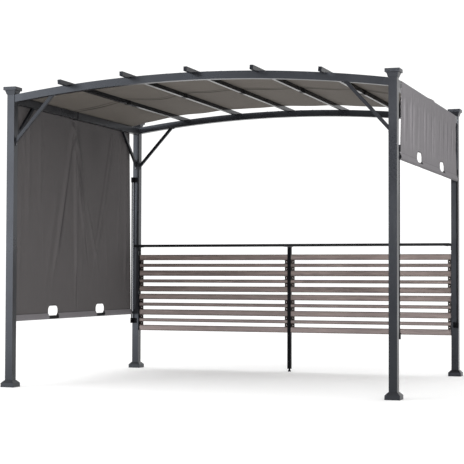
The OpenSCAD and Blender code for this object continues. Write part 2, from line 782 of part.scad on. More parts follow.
module hem_band(sx, hem_z) color(cloth_grey) mirror([sx < 0 ? 1 : 0, 0, 0])
    translate([rod_x, 0, hem_z]) difference() {
        rotate([90, 0, 0]) linear_extrude(hem_w, center = true) {
            difference() {
                circle(r = pocket_out, $fn = round_fn);
                circle(r = pocket_in, $fn = round_fn);
            }
            translate([-cloth_t / 2, pocket_in + cloth_t / 2])
                square([cloth_t, band_h - pocket_in - cloth_t / 2]);
        }
        for (s = [-1, 1]) translate([0, s * hole_y, 0]) {
            hand_hole();
            box_at(-2 * pocket_out, 0, -hole_w / 2, hole_w / 2, -2 * pocket_out, 2 * pocket_out);
        }
    }

module left_hem_band() hem_band(-1, left_hem_z);
module right_hem_band() hem_band(1, right_hem_z);

// Hem tube with a guide at each end that runs on a rod
module hem_tube(sx, hem_z) color(dark_metal) translate([sx * rod_x, 0, hem_z]) difference() {
    union() {
        rotate([90, 0, 0]) cylinder(r = hem_r, h = 2 * rod_y, center = true, $fn = round_fn);
        for (s = [-1, 1]) translate([0, s * rod_y, 0])
            cylinder(r = guide_r, h = guide_h, center = true, $fn = round_fn);
    }
    rotate([90, 0, 0]) cylinder(r = hem_r - hem_wall, h = 2 * (rod_y - guide_r),
        center = true, $fn = round_fn);
    for (s = [-1, 1]) translate([0, s * rod_y, 0])
        cylinder(r = guide_bore, h = 4 * hem_r, center = true, $fn = round_fn);
}

module left_hem_tube() hem_tube(-1, left_hem_z);
module right_hem_tube() hem_tube(1, right_hem_z);

// Guide rods and their brackets

module rod_at(sx, sy) color(dark_metal) translate([sx * rod_x, sy * rod_y, rod_low_z])
    cylinder(r = rod_r, h = rod_top_z - rod_low_z, $fn = round_fn);

module front_left_rod() rod_at(-1, -1);
module front_right_rod() rod_at(1, -1);
module back_left_rod() rod_at(-1, 1);
module back_right_rod() rod_at(1, 1);

// A bracket from z0 up whose rod socket is open at the top or at the bottom
module rod_bracket(sx, sy, z0, open_up) {
    z1 = z0 + bracket_h;
    s0 = open_up ? z0 + bracket_floor : z0 - 1;
    s1 = open_up ? z1 + 1 : z1 - bracket_floor;
    plate_x1 = post_x + post_w / 2 - bracket_edge;
    plate_x0 = plate_x1 - bracket_plate_w;
    arm_y1 = face_y - bracket_plate_t / 2;
    mirror([sx < 0 ? 1 : 0, 0, 0]) mirror([0, sy < 0 ? 1 : 0, 0]) difference() {
        union() {
            box_at(plate_x0, plate_x1, face_y - bracket_plate_t, face_y, z0, z1);
            translate([0, 0, z0]) linear_extrude(bracket_h) polygon([
                [rod_x - bracket_boss_r, rod_y], [rod_x, rod_y],
                [plate_x1, arm_y1], [plate_x1 - bracket_plate_w / 2, arm_y1]
            ]);
            translate([rod_x, rod_y, z0])
                cylinder(r = bracket_boss_r, h = bracket_h, $fn = round_fn);
            for (z = [z0 + 10, z1 - 10]) translate([plate_x0 + 8, face_y - bracket_plate_t, z])
                rotate([90, 0, 0])
                    cylinder(r = screw_head_r, h = screw_head_h, $fn = round_fn);
        }
        translate([rod_x, rod_y, s0]) cylinder(r = rod_r + rod_fit, h = s1 - s0, $fn = round_fn);
    }
}

module upper_rod_brackets() color(dark_metal) for (c = corners)
    rod_bracket(c[0], c[1], bracket_top_z - bracket_h, false);
module lower_rod_brackets() color(dark_metal) for (c = corners)
    rod_bracket(c[0], c[1], bracket_low_z, true);

// Shelf across the back, on the centre post and on a bracket at each end

module shelf_board(sx) color(dark_metal) {
    inner = board_gap / 2;
    outer = face_x - 1;
    mirror([sx < 0 ? 1 : 0, 0, 0]) box_at(inner, outer, post_y - shelf_front,
        post_y + shelf_back, shelf_low_z, shelf_top_z);
}
module left_shelf_board() shelf_board(-1);
module right_shelf_board() shelf_board(1);

bracket_leg_t = 3;
bracket_leg_h = 38;
bracket_arm_len = 46;

module shelf_brackets() color(dark_metal) for (sx = [-1, 1])
    mirror([sx < 0 ? 1 : 0, 0, 0]) {
        leg_y1 = post_y - strip_w / 2 - 1;
        leg_y0 = face_y;
        box_at(face_x - bracket_leg_t, face_x, leg_y0, leg_y1,
            shelf_low_z - bracket_leg_h, shelf_low_z);
        box_at(face_x - bracket_arm_len, face_x, post_y - shelf_front + 25, leg_y1,
            shelf_low_z - bracket_leg_t, shelf_low_z);
        for (y = [post_y - shelf_front + 45, face_y - 12])
            translate([face_x - 30, y, shelf_low_z - bracket_leg_t]) rotate([180, 0, 0])
                cylinder(r = screw_head_r, h = screw_head_h, $fn = round_fn);
    }

module centre_post() color(dark_metal) {
    top = shelf_low_z - centre_plate_t;
    plate_x = centre_w / 2 + centre_plate_over;
    difference() {
        union() {
            box_at(-centre_w / 2, centre_w / 2, post_y - centre_w / 2, post_y + centre_w / 2,
                centre_foot_h, top);
            box_at(-plate_x, plate_x, post_y - shelf_front + 25, post_y + shelf_back,
                top, shelf_low_z);
        }
        box_at(-centre_w / 2 + post_wall, centre_w / 2 - post_wall,
            post_y - centre_w / 2 + post_wall, post_y + centre_w / 2 - post_wall,
            centre_foot_h - 1, top - post_wall);
    }
}

module centre_foot() color(dark_metal) translate([0, post_y, 0]) {
    plug = centre_w / 2 - post_wall - cap_seat_gap;
    cylinder(r = centre_foot_r, h = centre_foot_h * 0.35, $fn = round_fn);
    cylinder(r = centre_foot_r * 0.55, h = centre_foot_h, $fn = round_fn);
    box_at(-centre_w / 2, centre_w / 2, -centre_w / 2, centre_w / 2,
        centre_foot_h - 6, centre_foot_h);
    box_at(-plug, plug, -plug, plug, centre_foot_h - 1, centre_foot_h + 20);
}

// Slat screens

module screw_places(low_z) for (k = [0:4])
    for (x = [screen_in_x + stile_w / 2, screen_out_x - stile_w / 2])
        translate([x, post_y + stile_t, low_z + slat_zs[k] + slat_hs[k] / 2])
            rotate([-90, 0, 0]) children();

module slats(sx, low_z) color(slat_brown) mirror([sx < 0 ? 1 : 0, 0, 0]) difference() {
    for (k = [0:4]) box_at(screen_in_x, screen_out_x, slat_front_y, post_y,
        low_z + slat_zs[k], low_z + slat_zs[k] + slat_hs[k]);
    screw_places(low_z) translate([0, 0, -stile_t - slat_t / 2])
        cylinder(r = screw_r + bolt_clear, h = stile_t + slat_t / 2, $fn = round_fn);
}

module upper_left_slats() slats(-1, upper_low_z);
module upper_right_slats() slats(1, upper_low_z);
module lower_left_slats() slats(-1, screen_low_z);
module lower_right_slats() slats(1, screen_low_z);

stile_hole_r = 3.5;

module slat_stiles() color(stile_brown) for (sx = [-1, 1]) for (low_z = [screen_low_z, upper_low_z])
    mirror([sx < 0 ? 1 : 0, 0, 0]) difference() {
        for (x = [screen_in_x, screen_out_x - stile_w])
            box_at(x, x + stile_w, post_y, post_y + stile_t, low_z, low_z + screen_h);
        screw_places(low_z) translate([0, 0, -stile_t - 1])
            cylinder(r = screw_r + bolt_clear, h = stile_t + 2, $fn = round_fn);
        for (k = [0:3]) for (x = [screen_in_x + stile_w / 2, screen_out_x - stile_w / 2])
            translate([x, post_y - 1, low_z + slat_zs[k] + slat_hs[k] + slat_gap / 2])
                rotate([-90, 0, 0]) cylinder(r = stile_hole_r, h = stile_t + 2, $fn = round_fn);
    }

module slat_screws() color(steel) for (sx = [-1, 1]) for (low_z = [screen_low_z, upper_low_z])
    mirror([sx < 0 ? 1 : 0, 0, 0])
        screw_places(low_z) bolt(screw_r, screw_head_r, screw_head_h, stile_t + slat_t / 3);

module mounting_strips() color(dark_metal) for (sx = [-1, 1])
    mirror([sx < 0 ? 1 : 0, 0, 0]) difference() {
        union() {
            box_at(face_x - strip_t, face_x, post_y - strip_w / 2, post_y + strip_w / 2,
                strip_low_z, strip_top_z);
            for (k = [0:boss_count - 1])
                translate([face_x - strip_t, post_y, strip_low_z + boss_r + k * boss_pitch])
                    rotate([0, -90, 0]) cylinder(r = boss_r, h = boss_h, $fn = round_fn);
        }
        for (k = [0:boss_count - 1])
            translate([face_x + 1, post_y, strip_low_z + boss_r + k * boss_pitch])
                rotate([0, -90, 0])
                    cylinder(r = boss_r / 2, h = strip_t + boss_h + 2, $fn = round_fn);
    }

front_left_post();
front_right_post();
back_left_post();
back_right_post();
front_left_cap();
front_right_cap();
back_left_cap();
back_right_cap();
front_left_base_cover();
front_right_base_cover();
back_left_base_cover();
back_right_base_cover();
front_arch_left();
front_arch_right();
back_arch_left();
back_arch_right();
arch_sleeves();
arch_bolts();
left_beam_front();
left_beam_back();
right_beam_front();
right_beam_back();
beam_sleeves();
front_knee_braces();
back_knee_braces();
left_knee_braces();
right_knee_braces();
knee_bolts();
rafter_1();
rafter_2();
rafter_3();
rafter_4();
rafter_5();
joint_clips();
rafter_screws();
roof_canopy();
left_drape();
right_drape();
left_hem_band();
right_hem_band();
left_hem_tube();
right_hem_tube();
front_left_rod();
front_right_rod();
back_left_rod();
back_right_rod();
upper_rod_brackets();
lower_rod_brackets();
left_shelf_board();
right_shelf_board();
shelf_brackets();
centre_post();
centre_foot();
upper_left_slats();
upper_right_slats();
lower_left_slats();
lower_right_slats();
slat_stiles();
mounting_strips();
slat_screws();
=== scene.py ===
# %% [markdown]
# # A hot tub pergola
# The scene dresses a finished model of a garden pergola: square posts, two
# shallow arches, rafters, a bar shelf and slatted screens stay as they are and
# get a finish, and the cloth is made here. One long cloth lies over the roof
# and hangs down at both sides, so most of the modelling below is about cloth.
# Lengths are metres. X runs to the right along the arches, Y to the back and
# Z up, and the ground is at zero.

# %% Load the model
import json
import math
import bpy
import numpy as np
from mathutils import Matrix, Vector


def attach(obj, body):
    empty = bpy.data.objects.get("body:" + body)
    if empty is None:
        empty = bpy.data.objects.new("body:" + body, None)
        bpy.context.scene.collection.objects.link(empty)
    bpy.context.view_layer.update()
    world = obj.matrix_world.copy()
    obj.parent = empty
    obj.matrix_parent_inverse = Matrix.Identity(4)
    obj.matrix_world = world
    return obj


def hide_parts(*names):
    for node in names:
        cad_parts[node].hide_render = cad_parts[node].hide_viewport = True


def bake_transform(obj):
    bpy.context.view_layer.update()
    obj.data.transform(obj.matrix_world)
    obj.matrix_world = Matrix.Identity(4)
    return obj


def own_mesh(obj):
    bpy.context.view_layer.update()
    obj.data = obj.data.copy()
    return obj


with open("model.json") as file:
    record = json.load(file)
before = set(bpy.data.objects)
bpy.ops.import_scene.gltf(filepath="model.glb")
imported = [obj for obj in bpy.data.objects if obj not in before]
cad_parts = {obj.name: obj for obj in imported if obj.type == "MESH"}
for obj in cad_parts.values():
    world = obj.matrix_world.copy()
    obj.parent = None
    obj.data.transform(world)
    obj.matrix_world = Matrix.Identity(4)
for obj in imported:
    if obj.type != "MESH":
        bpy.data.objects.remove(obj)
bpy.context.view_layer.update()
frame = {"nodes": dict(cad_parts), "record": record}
nodes = frame["nodes"]

# %% [markdown]
# ## The camera
# A product photograph is usually taken from far away with a long lens, so that
# upright posts stay nearly parallel. The camera stands low, to the right of
# the pergola, and looks a little to the left and a little upwards. A camera
# looks along its own negative Z, so its rotation is built from three
# directions: right, up and backwards.

# %% Camera
def turned_axes(yaw, pitch, roll):
    """Right, up and forward of a camera: forward is the Y axis turned by yaw about Z
    and raised by pitch, and right and up are then turned round it by roll."""
    y, p, r = (math.radians(a) for a in (yaw, pitch, roll))
    forward = np.array([math.sin(y) * math.cos(p), math.cos(y) * math.cos(p), math.sin(p)])
    right = np.array([math.cos(y), -math.sin(y), 0.0])
    up = np.cross(right, forward)
    return (
        math.cos(r) * right + math.sin(r) * up,
        -math.sin(r) * right + math.cos(r) * up,
        forward,
    )


IMAGE_PX = 464
FOCAL_PX = 1356.5
SENSOR_MM = 36.0
CAMERA_PLACE = (3.528, -10.380, 0.837)
CAMERA_TURN = (-19.379, 1.904, 0.177)  # yaw, pitch and roll in degrees

camera_data = bpy.data.cameras.new("camera")
camera_data.sensor_width = SENSOR_MM
camera_data.lens = FOCAL_PX / IMAGE_PX * SENSOR_MM
camera_data.clip_end = 200.0
camera = bpy.data.objects.new("camera", camera_data)
right, up, forward = turned_axes(*CAMERA_TURN)
turn = Matrix(np.column_stack([right, up, -forward]).tolist()).to_4x4()
camera.matrix_world = Matrix.Translation(CAMERA_PLACE) @ turn
bpy.context.scene.collection.objects.link(camera)
bpy.context.scene.camera = camera
print("lens", round(camera_data.lens, 1), "mm")

# %% [markdown]
# ## Floor and light
# A white floor and a white sky give the soft light of a studio cut-out. With
# only that, every face of a dark frame would look alike. One large lamp stands
# low at the left, in front: it reaches the front faces of the left post and
# arch first, slips under the front arch to the right half of the cloth, and
# leaves the cloth behind the left beam in shade. A long narrow lamp above it is
# there to be mirrored in the arch. Cloth shows its folds only in light that
# grazes it, so each drape has a lamp of its own, with a narrow beam that fades
# towards the side beam above. The floor glows a little, so that the shadow
# under the pergola stays light.

# %% Helpers for materials
def new_material(name):
    """A new material, its node tree and its Principled shader."""
    material = bpy.data.materials.new(name)
    material.use_nodes = True
    tree = material.node_tree
    shader = tree.nodes["Principled BSDF"]
    return material, tree, shader


def add(tree, kind, **settings):
    """Adds a node, sets its named properties, and fills inputs given as in_NAME or in_NUMBER.
    A Map Range node's inputs 1 to 4 are the range it reads and the range it gives."""
    node = tree.nodes.new(kind)
    for key, value in settings.items():
        if key.startswith("in_"):
            socket = key[3:].replace("_", " ")
            node.inputs[int(socket) if socket.isdigit() else socket].default_value = value
        else:
            setattr(node, key, value)
    return node


def wire(source, output, target, slot):
    """Links one node's output to another node's input, each given by name or number."""
    source.id_data.links.new(source.outputs[output], target.inputs[slot])


# %% Floor, sky and lamps
FLOOR_HALF = 60.0
floor_mesh = bpy.data.meshes.new("floor")
corners = [(sx * FLOOR_HALF, sy * FLOOR_HALF, 0) for sx, sy in ((-1, -1), (1, -1), (1, 1), (-1, 1))]
floor_mesh.from_pydata(corners, [], [(0, 1, 2, 3)])
floor = bpy.data.objects.new("floor", floor_mesh)
bpy.context.scene.collection.objects.link(floor)
floor_paint, _, floor_shader = new_material("floor_paint")
floor_shader.inputs["Base Color"].default_value = (0.93, 0.93, 0.93, 1)
floor_shader.inputs["Roughness"].default_value = 0.9
floor_shader.inputs["Specular IOR Level"].default_value = 0.2
floor_shader.inputs["Emission Color"].default_value = (1.0, 1.0, 1.0, 1)
floor_shader.inputs["Emission Strength"].default_value = 0.10
floor_mesh.materials.append(floor_paint)

world = bpy.data.worlds.new("studio")
world.use_nodes = True
sky = world.node_tree.nodes["Background"]
sky.inputs["Color"].default_value = (1.0, 1.0, 1.0, 1)
sky.inputs["Strength"].default_value = 1.12
bpy.context.scene.world = world
bpy.context.scene.view_settings.view_transform = "Standard"


def soft_lamp(name, place, target, width, height, power, beam=180.0):
    """A flat lamp of width by height metres at a place, turned to look at a target, with its
    power in watts and the angle of its beam in degrees."""
    data = bpy.data.lights.new(name, "AREA")
    data.shape = "RECTANGLE"
    data.size, data.size_y = width, height
    data.energy = power
    data.spread = math.radians(beam)
    lamp = bpy.data.objects.new(name, data)
    lamp.location = place
    aim = Vector(target) - Vector(place)
    lamp.rotation_euler = aim.to_track_quat("-Z", "Y").to_euler()
    bpy.context.scene.collection.objects.link(lamp)


soft_lamp("left_lamp", (-4.6, -5.8, 1.55), (0.0, 0.0, 1.55), 2.2, 3.6, 160.0)
soft_lamp("arch_lamp", (-2.9, -5.8, 3.3), (-0.6, 0.0, 2.3), 3.4, 1.0, 34.0)
soft_lamp("long_drape_lamp", (4.4, -9.6, 1.6), (-1.5, 0.0, 0.85), 1.4, 1.4, 30.0, 31.0)
soft_lamp("short_drape_lamp", (4.4, -9.6, 2.6), (1.5, 0.0, 1.85), 1.2, 1.2, 21.0, 20.0)

# %% [markdown]
# ## Shared effects
# Some effects are needed by several finishes, so each one is a node group with
# named inputs and outputs. Small dents and dust break up a large even face;
# a weave is two sets of threads that cross; a wood grain is noise pulled out
# long in one direction. The groups give only colours, roughness and heights,
# and each material keeps its own shader. The dust mask has no hard threshold,
# because the edge of a threshold would show as a fine line on glossy paint.

# %% Group: grain of a powder coat
def make_group(name, inputs, outputs):
    """A shader node group with its sockets: an input is (name, type, default), an output is
    (name, type). Its own input and output nodes come back with it."""
    group = bpy.data.node_groups.new(name, "ShaderNodeTree")
    for label, kind, default in inputs:
        socket = group.interface.new_socket(label, in_out="INPUT", socket_type=kind)
        if default is not None:
            socket.default_value = default
    for label, kind in outputs:
        group.interface.new_socket(label, in_out="OUTPUT", socket_type=kind)
    entry = group.nodes.new("NodeGroupInput")
    leave = group.nodes.new("NodeGroupOutput")
    return group, entry, leave


VECTOR, COLOR, FLOAT = "NodeSocketVector", "NodeSocketColor", "NodeSocketFloat"

powder, entry, leave = make_group(
    "powder_grain",
    [("Vector", VECTOR, None), ("Color", COLOR, (0.1, 0.1, 0.1, 1)), ("Dust", FLOAT, 0.2),
     ("Roughness", FLOAT, 0.45)],
    [("Color", COLOR), ("Roughness", FLOAT), ("Height", FLOAT)],
)
fine = add(powder, "ShaderNodeTexNoise", in_Scale=650.0, in_Detail=2.0)
broad = add(powder, "ShaderNodeTexNoise", in_Scale=2.3, in_Detail=5.0, in_Roughness=0.6)
dusty = add(powder, "ShaderNodeMapRange", interpolation_type="SMOOTHSTEP",
            in_1=0.1, in_2=0.9, in_3=0.0, in_4=0.75)
share = add(powder, "ShaderNodeMath", operation="MULTIPLY")
lighter = add(powder, "ShaderNodeMixRGB", blend_type="MIX", in_Color2=(0.24, 0.235, 0.23, 1))
rougher = add(powder, "ShaderNodeMath", operation="MULTIPLY_ADD", in_1=0.22)
wire(entry, "Vector", fine, "Vector")
wire(entry, "Vector", broad, "Vector")
wire(broad, "Fac", dusty, 0)
wire(dusty, 0, share, 0)
wire(entry, "Dust", share, 1)
wire(share, 0, lighter, "Fac")
wire(entry, "Color", lighter, "Color1")
wire(dusty, 0, rougher, 0)
wire(entry, "Roughness", rougher, 2)
wire(lighter, "Color", leave, "Color")
wire(rougher, 0, leave, "Roughness")
wire(fine, "Fac", leave, "Height")
print("group", powder.name)

# %% Group: woven cloth
weave, entry, leave = make_group(
    "plain_weave",
    [("Vector", VECTOR, None), ("Color", COLOR, (0.3, 0.3, 0.3, 1)), ("Threads", FLOAT, 140.0),
     ("Mottle", FLOAT, 0.10)],
    [("Color", COLOR), ("Height", FLOAT)],
)
warp = add(weave, "ShaderNodeTexWave", bands_direction="X", in_Distortion=0.6, in_Detail=1.0)
weft = add(weave, "ShaderNodeTexWave", bands_direction="Y", in_Distortion=0.6, in_Detail=1.0)
cross = add(weave, "ShaderNodeMath", operation="MULTIPLY")
cloud = add(weave, "ShaderNodeTexNoise", in_Scale=3.2, in_Detail=6.0, in_Roughness=0.62)
slub = add(weave, "ShaderNodeTexNoise", in_Scale=55.0, in_Detail=3.0)
stretch = add(weave, "ShaderNodeMapping", vector_type="POINT")
stretch.inputs["Scale"].default_value = (1.0, 0.12, 1.0)
both = add(weave, "ShaderNodeMath", operation="ADD")
centre = add(weave, "ShaderNodeMath", operation="SUBTRACT", in_1=1.0)
amount = add(weave, "ShaderNodeMath", operation="MULTIPLY")
gain = add(weave, "ShaderNodeMath", operation="ADD", in_1=1.0)
tint = add(weave, "ShaderNodeVectorMath", operation="SCALE")
wire(entry, "Vector", warp, "Vector")
wire(entry, "Vector", weft, "Vector")
wire(entry, "Threads", warp, "Scale")
wire(entry, "Threads", weft, "Scale")
wire(warp, "Fac", cross, 0)
wire(weft, "Fac", cross, 1)
wire(entry, "Vector", cloud, "Vector")
wire(entry, "Vector", stretch, "Vector")
wire(stretch, "Vector", slub, "Vector")
wire(cloud, "Fac", both, 0)
wire(slub, "Fac", both, 1)
wire(both, 0, centre, 0)
wire(centre, 0, amount, 0)
wire(entry, "Mottle", amount, 1)
wire(amount, 0, gain, 0)
wire(entry, "Color", tint, 0)
wire(gain, 0, tint, "Scale")
wire(tint, "Vector", leave, "Color")
wire(cross, 0, leave, "Height")
print("group", weave.name)

# %% Group: grain of a composite board
grain, entry, leave = make_group(
    "board_grain",
    [("Vector", VECTOR, None), ("Dark", COLOR, (0.1, 0.08, 0.07, 1)),
     ("Light", COLOR, (0.3, 0.25, 0.22, 1)), ("Stretch", VECTOR, (1.2, 26.0, 26.0))],
    [("Color", COLOR), ("Roughness", FLOAT), ("Height", FLOAT)],
)
pull = add(grain, "ShaderNodeVectorMath", operation="MULTIPLY")
streak = add(grain, "ShaderNodeTexNoise", in_Scale=6.0, in_Detail=7.0, in_Roughness=0.68)
board = add(grain, "ShaderNodeTexNoise", in_Scale=1.6, in_Detail=2.0)
blend_two = add(grain, "ShaderNodeMixRGB", blend_type="MIX", in_Fac=0.35)
ramp = add(grain, "ShaderNodeMapRange", in_1=0.32, in_2=0.68, in_3=0.0, in_4=1.0)
shade = add(grain, "ShaderNodeMixRGB", blend_type="MIX")
rough = add(grain, "ShaderNodeMapRange", in_1=0.0, in_2=1.0, in_3=0.62, in_4=0.48)
wire(entry, "Vector", pull, 0)
wire(entry, "Stretch", pull, 1)
wire(pull, "Vector", streak, "Vector")
wire(pull, "Vector", board, "Vector")
wire(streak, "Fac", blend_two, "Color1")
wire(board, "Fac", blend_two, "Color2")
wire(blend_two, "Color", ramp, 0)
wire(ramp, 0, shade, "Fac")
wire(entry, "Dark", shade, "Color1")
wire(entry, "Light", shade, "Color2")
wire(streak, "Fac", rough, 0)
wire(shade, "Color", leave, "Color")
wire(rough, 0, leave, "Roughness")
wire(streak, "Fac", leave, "Height")
print("group", grain.name)

# %% [markdown]
# ## Finishes
# The frame is steel with a charcoal powder coat: dark, slightly blue, with a
# faint orange-peel grain and a soft sheen. The caps and base covers are
# moulded in the same grey. Rafters and braces get darker copies of that coat
# as painted shade, darkest for the rafters and the braces at the back and
# sides. Rods, brackets and the shelf are nearly black, and the slats are a
# brown-grey composite with a brushed grain along their length. All the coats
# share one slightly blue sheen.

# %% Finishes of the rigid parts
SHEEN = (0.80, 0.87, 1.0, 1)


def grouped(name, effect, settings, strength, depth, specular):
    """A material whose colour, roughness and height come from a shared effect, laid out on the
    object's own coordinates. The height is a bump of the given strength and depth."""
    material, tree, shader = new_material(name)
    place = add(tree, "ShaderNodeTexCoord")
    group = add(tree, "ShaderNodeGroup", node_tree=effect)
    for label, value in settings.items():
        group.inputs[label].default_value = value
    relief = add(tree, "ShaderNodeBump", in_Strength=strength, in_Distance=depth)
    wire(place, "Object", group, "Vector")
    wire(group, "Color", shader, "Base Color")
    wire(group, "Roughness", shader, "Roughness")
    wire(group, "Height", relief, "Height")
    wire(relief, "Normal", shader, "Normal")
    shader.inputs["Specular IOR Level"].default_value = specular
    return material


def coated(name, color, roughness, dust, strength, specular=0.5):
    """A painted or moulded finish: the powder grain, and the sheen that all coats share."""
    settings = {"Color": (*color, 1), "Roughness": roughness, "Dust": dust}
    material = grouped(name, powder, settings, strength, 0.0004, specular)
    material.node_tree.nodes["Principled BSDF"].inputs["Specular Tint"].default_value = SHEEN
    return material


def boarded(name, dark, light, stretch, strength, specular):
    """A composite board: 'stretch' is how much faster the grain changes along each axis, so
    the smallest number is along the board."""
    settings = {"Dark": (*dark, 1), "Light": (*light, 1), "Stretch": stretch}
    return grouped(name, grain, settings, strength, 0.0012, specular)


charcoal = coated("charcoal_coat", (0.0064, 0.0066, 0.0077), 0.22, 0.03, 0.08, 0.34)
# Darker copies of the charcoal coat, as painted shade: one for the rafters and the braces at the back
# and sides, one for the front braces.
rafter_coat = coated("rafter_coat", (0.0045, 0.0050, 0.0065), 0.13, 0.02, 0.05, 0.12)
brace_coat = coated("brace_coat", (0.0055, 0.0057, 0.0068), 0.22, 0.03, 0.08, 0.20)
moulded = coated("moulded_grey", (0.0068, 0.0070, 0.0080), 0.30, 0.03, 0.08, 0.40)
NEARLY_BLACK = ((0.0018, 0.0018, 0.0022), 0.34, 0.01, 0.10, 0.04)
black = coated("black_coat", *NEARLY_BLACK)
zinc = coated("zinc_fixings", (0.16, 0.16, 0.17), 0.35, 0.05, 0.10)
zinc.node_tree.nodes["Principled BSDF"].inputs["Metallic"].default_value = 0.9
slat_wood = boarded("slat_composite", (0.044, 0.033, 0.030), (0.184, 0.144, 0.132),
                    (1.2, 26.0, 26.0), 0.5, 0.3)
stile_wood = boarded("stile_composite", (0.010, 0.007, 0.006), (0.026, 0.018, 0.015),
                     (26.0, 26.0, 1.2), 0.4, 0.12)
shelf_black = boarded("shelf_composite", (0.003, 0.003, 0.0035), (0.008, 0.008, 0.009),
                      (1.2, 30.0, 30.0), 0.3, 0.08)
print("finishes", [m.name for m in bpy.data.materials])

# %% [markdown]
# ### Three marks that follow the height
# The long edges of the slats are painted darker than their faces, as painted
# shade along the edges. The slats of a screen repeat with one period, wide
# and narrow in turn, so the distance to the nearest long edge comes from the
# height alone. The lowest slats are painted paler, as painted light from below.
# The centre post's cap under the shelf gets a bright band, a painted
# highlight, and the height picks that out too.

# %% Painted shade at the slat edges, painted light on the low slats and the painted highlight on the post's cap
SLAT_PERIOD, WIDE_SLAT, NARROW_SLAT = 0.1435, 0.050, 0.030
SCREEN_LOW = (0.345, 0.703)  # the lower edges of the lower and the upper screen
# Painted shade at the slats' long edges: how far it reaches and its colour.
EDGE_REACH, PAINTED_EDGE_SHADE = 0.010, (0.030, 0.021, 0.018)
# Painted light from below on the low slats: where it starts, where it is strongest, and its colour.
LOW_LIGHT_TOP, LOW_LIGHT_BOTTOM, LOW_LIGHT_COLOR = 0.74, 0.33, (0.33, 0.28, 0.275)
# Painted highlight on the centre post's cap: the height where it starts, and its colour.
CAP_HIGHLIGHT_LOW, CAP_HIGHLIGHT_COLOR = 1.1052, (0.130, 0.130, 0.138)


def height_of(tree):
    """The height above the ground, from the object's own coordinates."""
    place = add(tree, "ShaderNodeTexCoord")
    split = add(tree, "ShaderNodeSeparateXYZ")
    wire(place, "Object", split, 0)
    return split.outputs["Z"]


def chain(tree, value, *steps):
    """Math nodes one after another: each step is an operation with its second number or
    output, or None for an operation on one value."""
    for operation, other in steps:
        node = add(tree, "ShaderNodeMath", operation=operation)
        tree.links.new(value, node.inputs[0])
        if isinstance(other, bpy.types.NodeSocket):
            tree.links.new(other, node.inputs[1])
        elif other is not None:
            node.inputs[1].default_value = other
        value = node.outputs[0]
    return value


def shade_by(material, mask, color):
    """Mixes a colour over the material's Base Color by a mask."""
    tree = material.node_tree
    shader = tree.nodes["Principled BSDF"]
    mix = add(tree, "ShaderNodeMixRGB", blend_type="MIX", in_Color2=(*color, 1))
    tree.links.new(shader.inputs["Base Color"].links[0].from_socket, mix.inputs["Color1"])
    tree.links.new(mask, mix.inputs["Fac"])
    wire(mix, "Color", shader, "Base Color")


def painted_edge_shade(tree, reach):
    """Mask of the painted shade along the slats: 0.8 at a slat's long edge and zero from
    'reach' inwards: the height is folded into one period, and the distances to the edges of its
    wide and its narrow slat are compared. The upper screen's heights are first moved down to
    the lower screen's."""
    z = height_of(tree)
    apart, between = SCREEN_LOW[1] - SCREEN_LOW[0], SCREEN_LOW[1] - 0.010
    rise = chain(tree, z, ("GREATER_THAN", between), ("MULTIPLY", apart))
    phase = chain(tree, z, ("SUBTRACT", rise), ("SUBTRACT", SCREEN_LOW[0] - SLAT_PERIOD),
                  ("MODULO", SLAT_PERIOD))
    narrow_mid = (WIDE_SLAT + SLAT_PERIOD) / 2
    wide = chain(tree, phase, ("SUBTRACT", WIDE_SLAT / 2), ("ABSOLUTE", None),
                 ("SUBTRACT", WIDE_SLAT / 2), ("ABSOLUTE", None))
    narrow = chain(tree, phase, ("SUBTRACT", narrow_mid), ("ABSOLUTE", None),
                   ("SUBTRACT", NARROW_SLAT / 2), ("ABSOLUTE", None))
    fade = add(tree, "ShaderNodeMapRange", in_1=0.25 * reach, in_2=reach, in_3=0.8, in_4=0.0)
    tree.links.new(chain(tree, wide, ("MINIMUM", narrow)), fade.inputs[0])
    return fade.outputs[0]


def painted_low_light(tree, top, bottom):
    """Painted light from below: zero above 'top', then in a straight line to 0.3 at 'bottom'."""
    fade = add(tree, "ShaderNodeMapRange", in_1=bottom, in_2=top, in_3=0.3, in_4=0.0)
    tree.links.new(height_of(tree), fade.inputs[0])
    return fade.outputs[0]


# Painted light from below: the slats grow paler towards the bottom.
shade_by(slat_wood, painted_low_light(slat_wood.node_tree, LOW_LIGHT_TOP, LOW_LIGHT_BOTTOM), LOW_LIGHT_COLOR)
# Painted shade along the slats' long edges.
shade_by(slat_wood, painted_edge_shade(slat_wood.node_tree, EDGE_REACH), PAINTED_EDGE_SHADE)
# A painted highlight: a grey band over the black coat at the top of the centre post, on its cap.
black_with_cap_highlight = coated("post_with_painted_highlight", *NEARLY_BLACK)
on_cap_highlight = chain(black_with_cap_highlight.node_tree, height_of(black_with_cap_highlight.node_tree), ("GREATER_THAN", CAP_HIGHLIGHT_LOW))
shade_by(black_with_cap_highlight, on_cap_highlight, CAP_HIGHLIGHT_COLOR)
print("slat period", SLAT_PERIOD, "plate from", CAP_HIGHLIGHT_LOW)

# %% [markdown]
# ## The rigid parts
# The tubes, boards and brackets already have their exact shape. What they
# lack is a softened edge: a perfectly sharp corner catches no light. Editing
# every mesh by hand would be slow and would change the model, so a short
# stack of modifiers does it without touching the points: weld the loose
# triangles, dissolve the flat ones, bevel what is sharp, and even the normals.

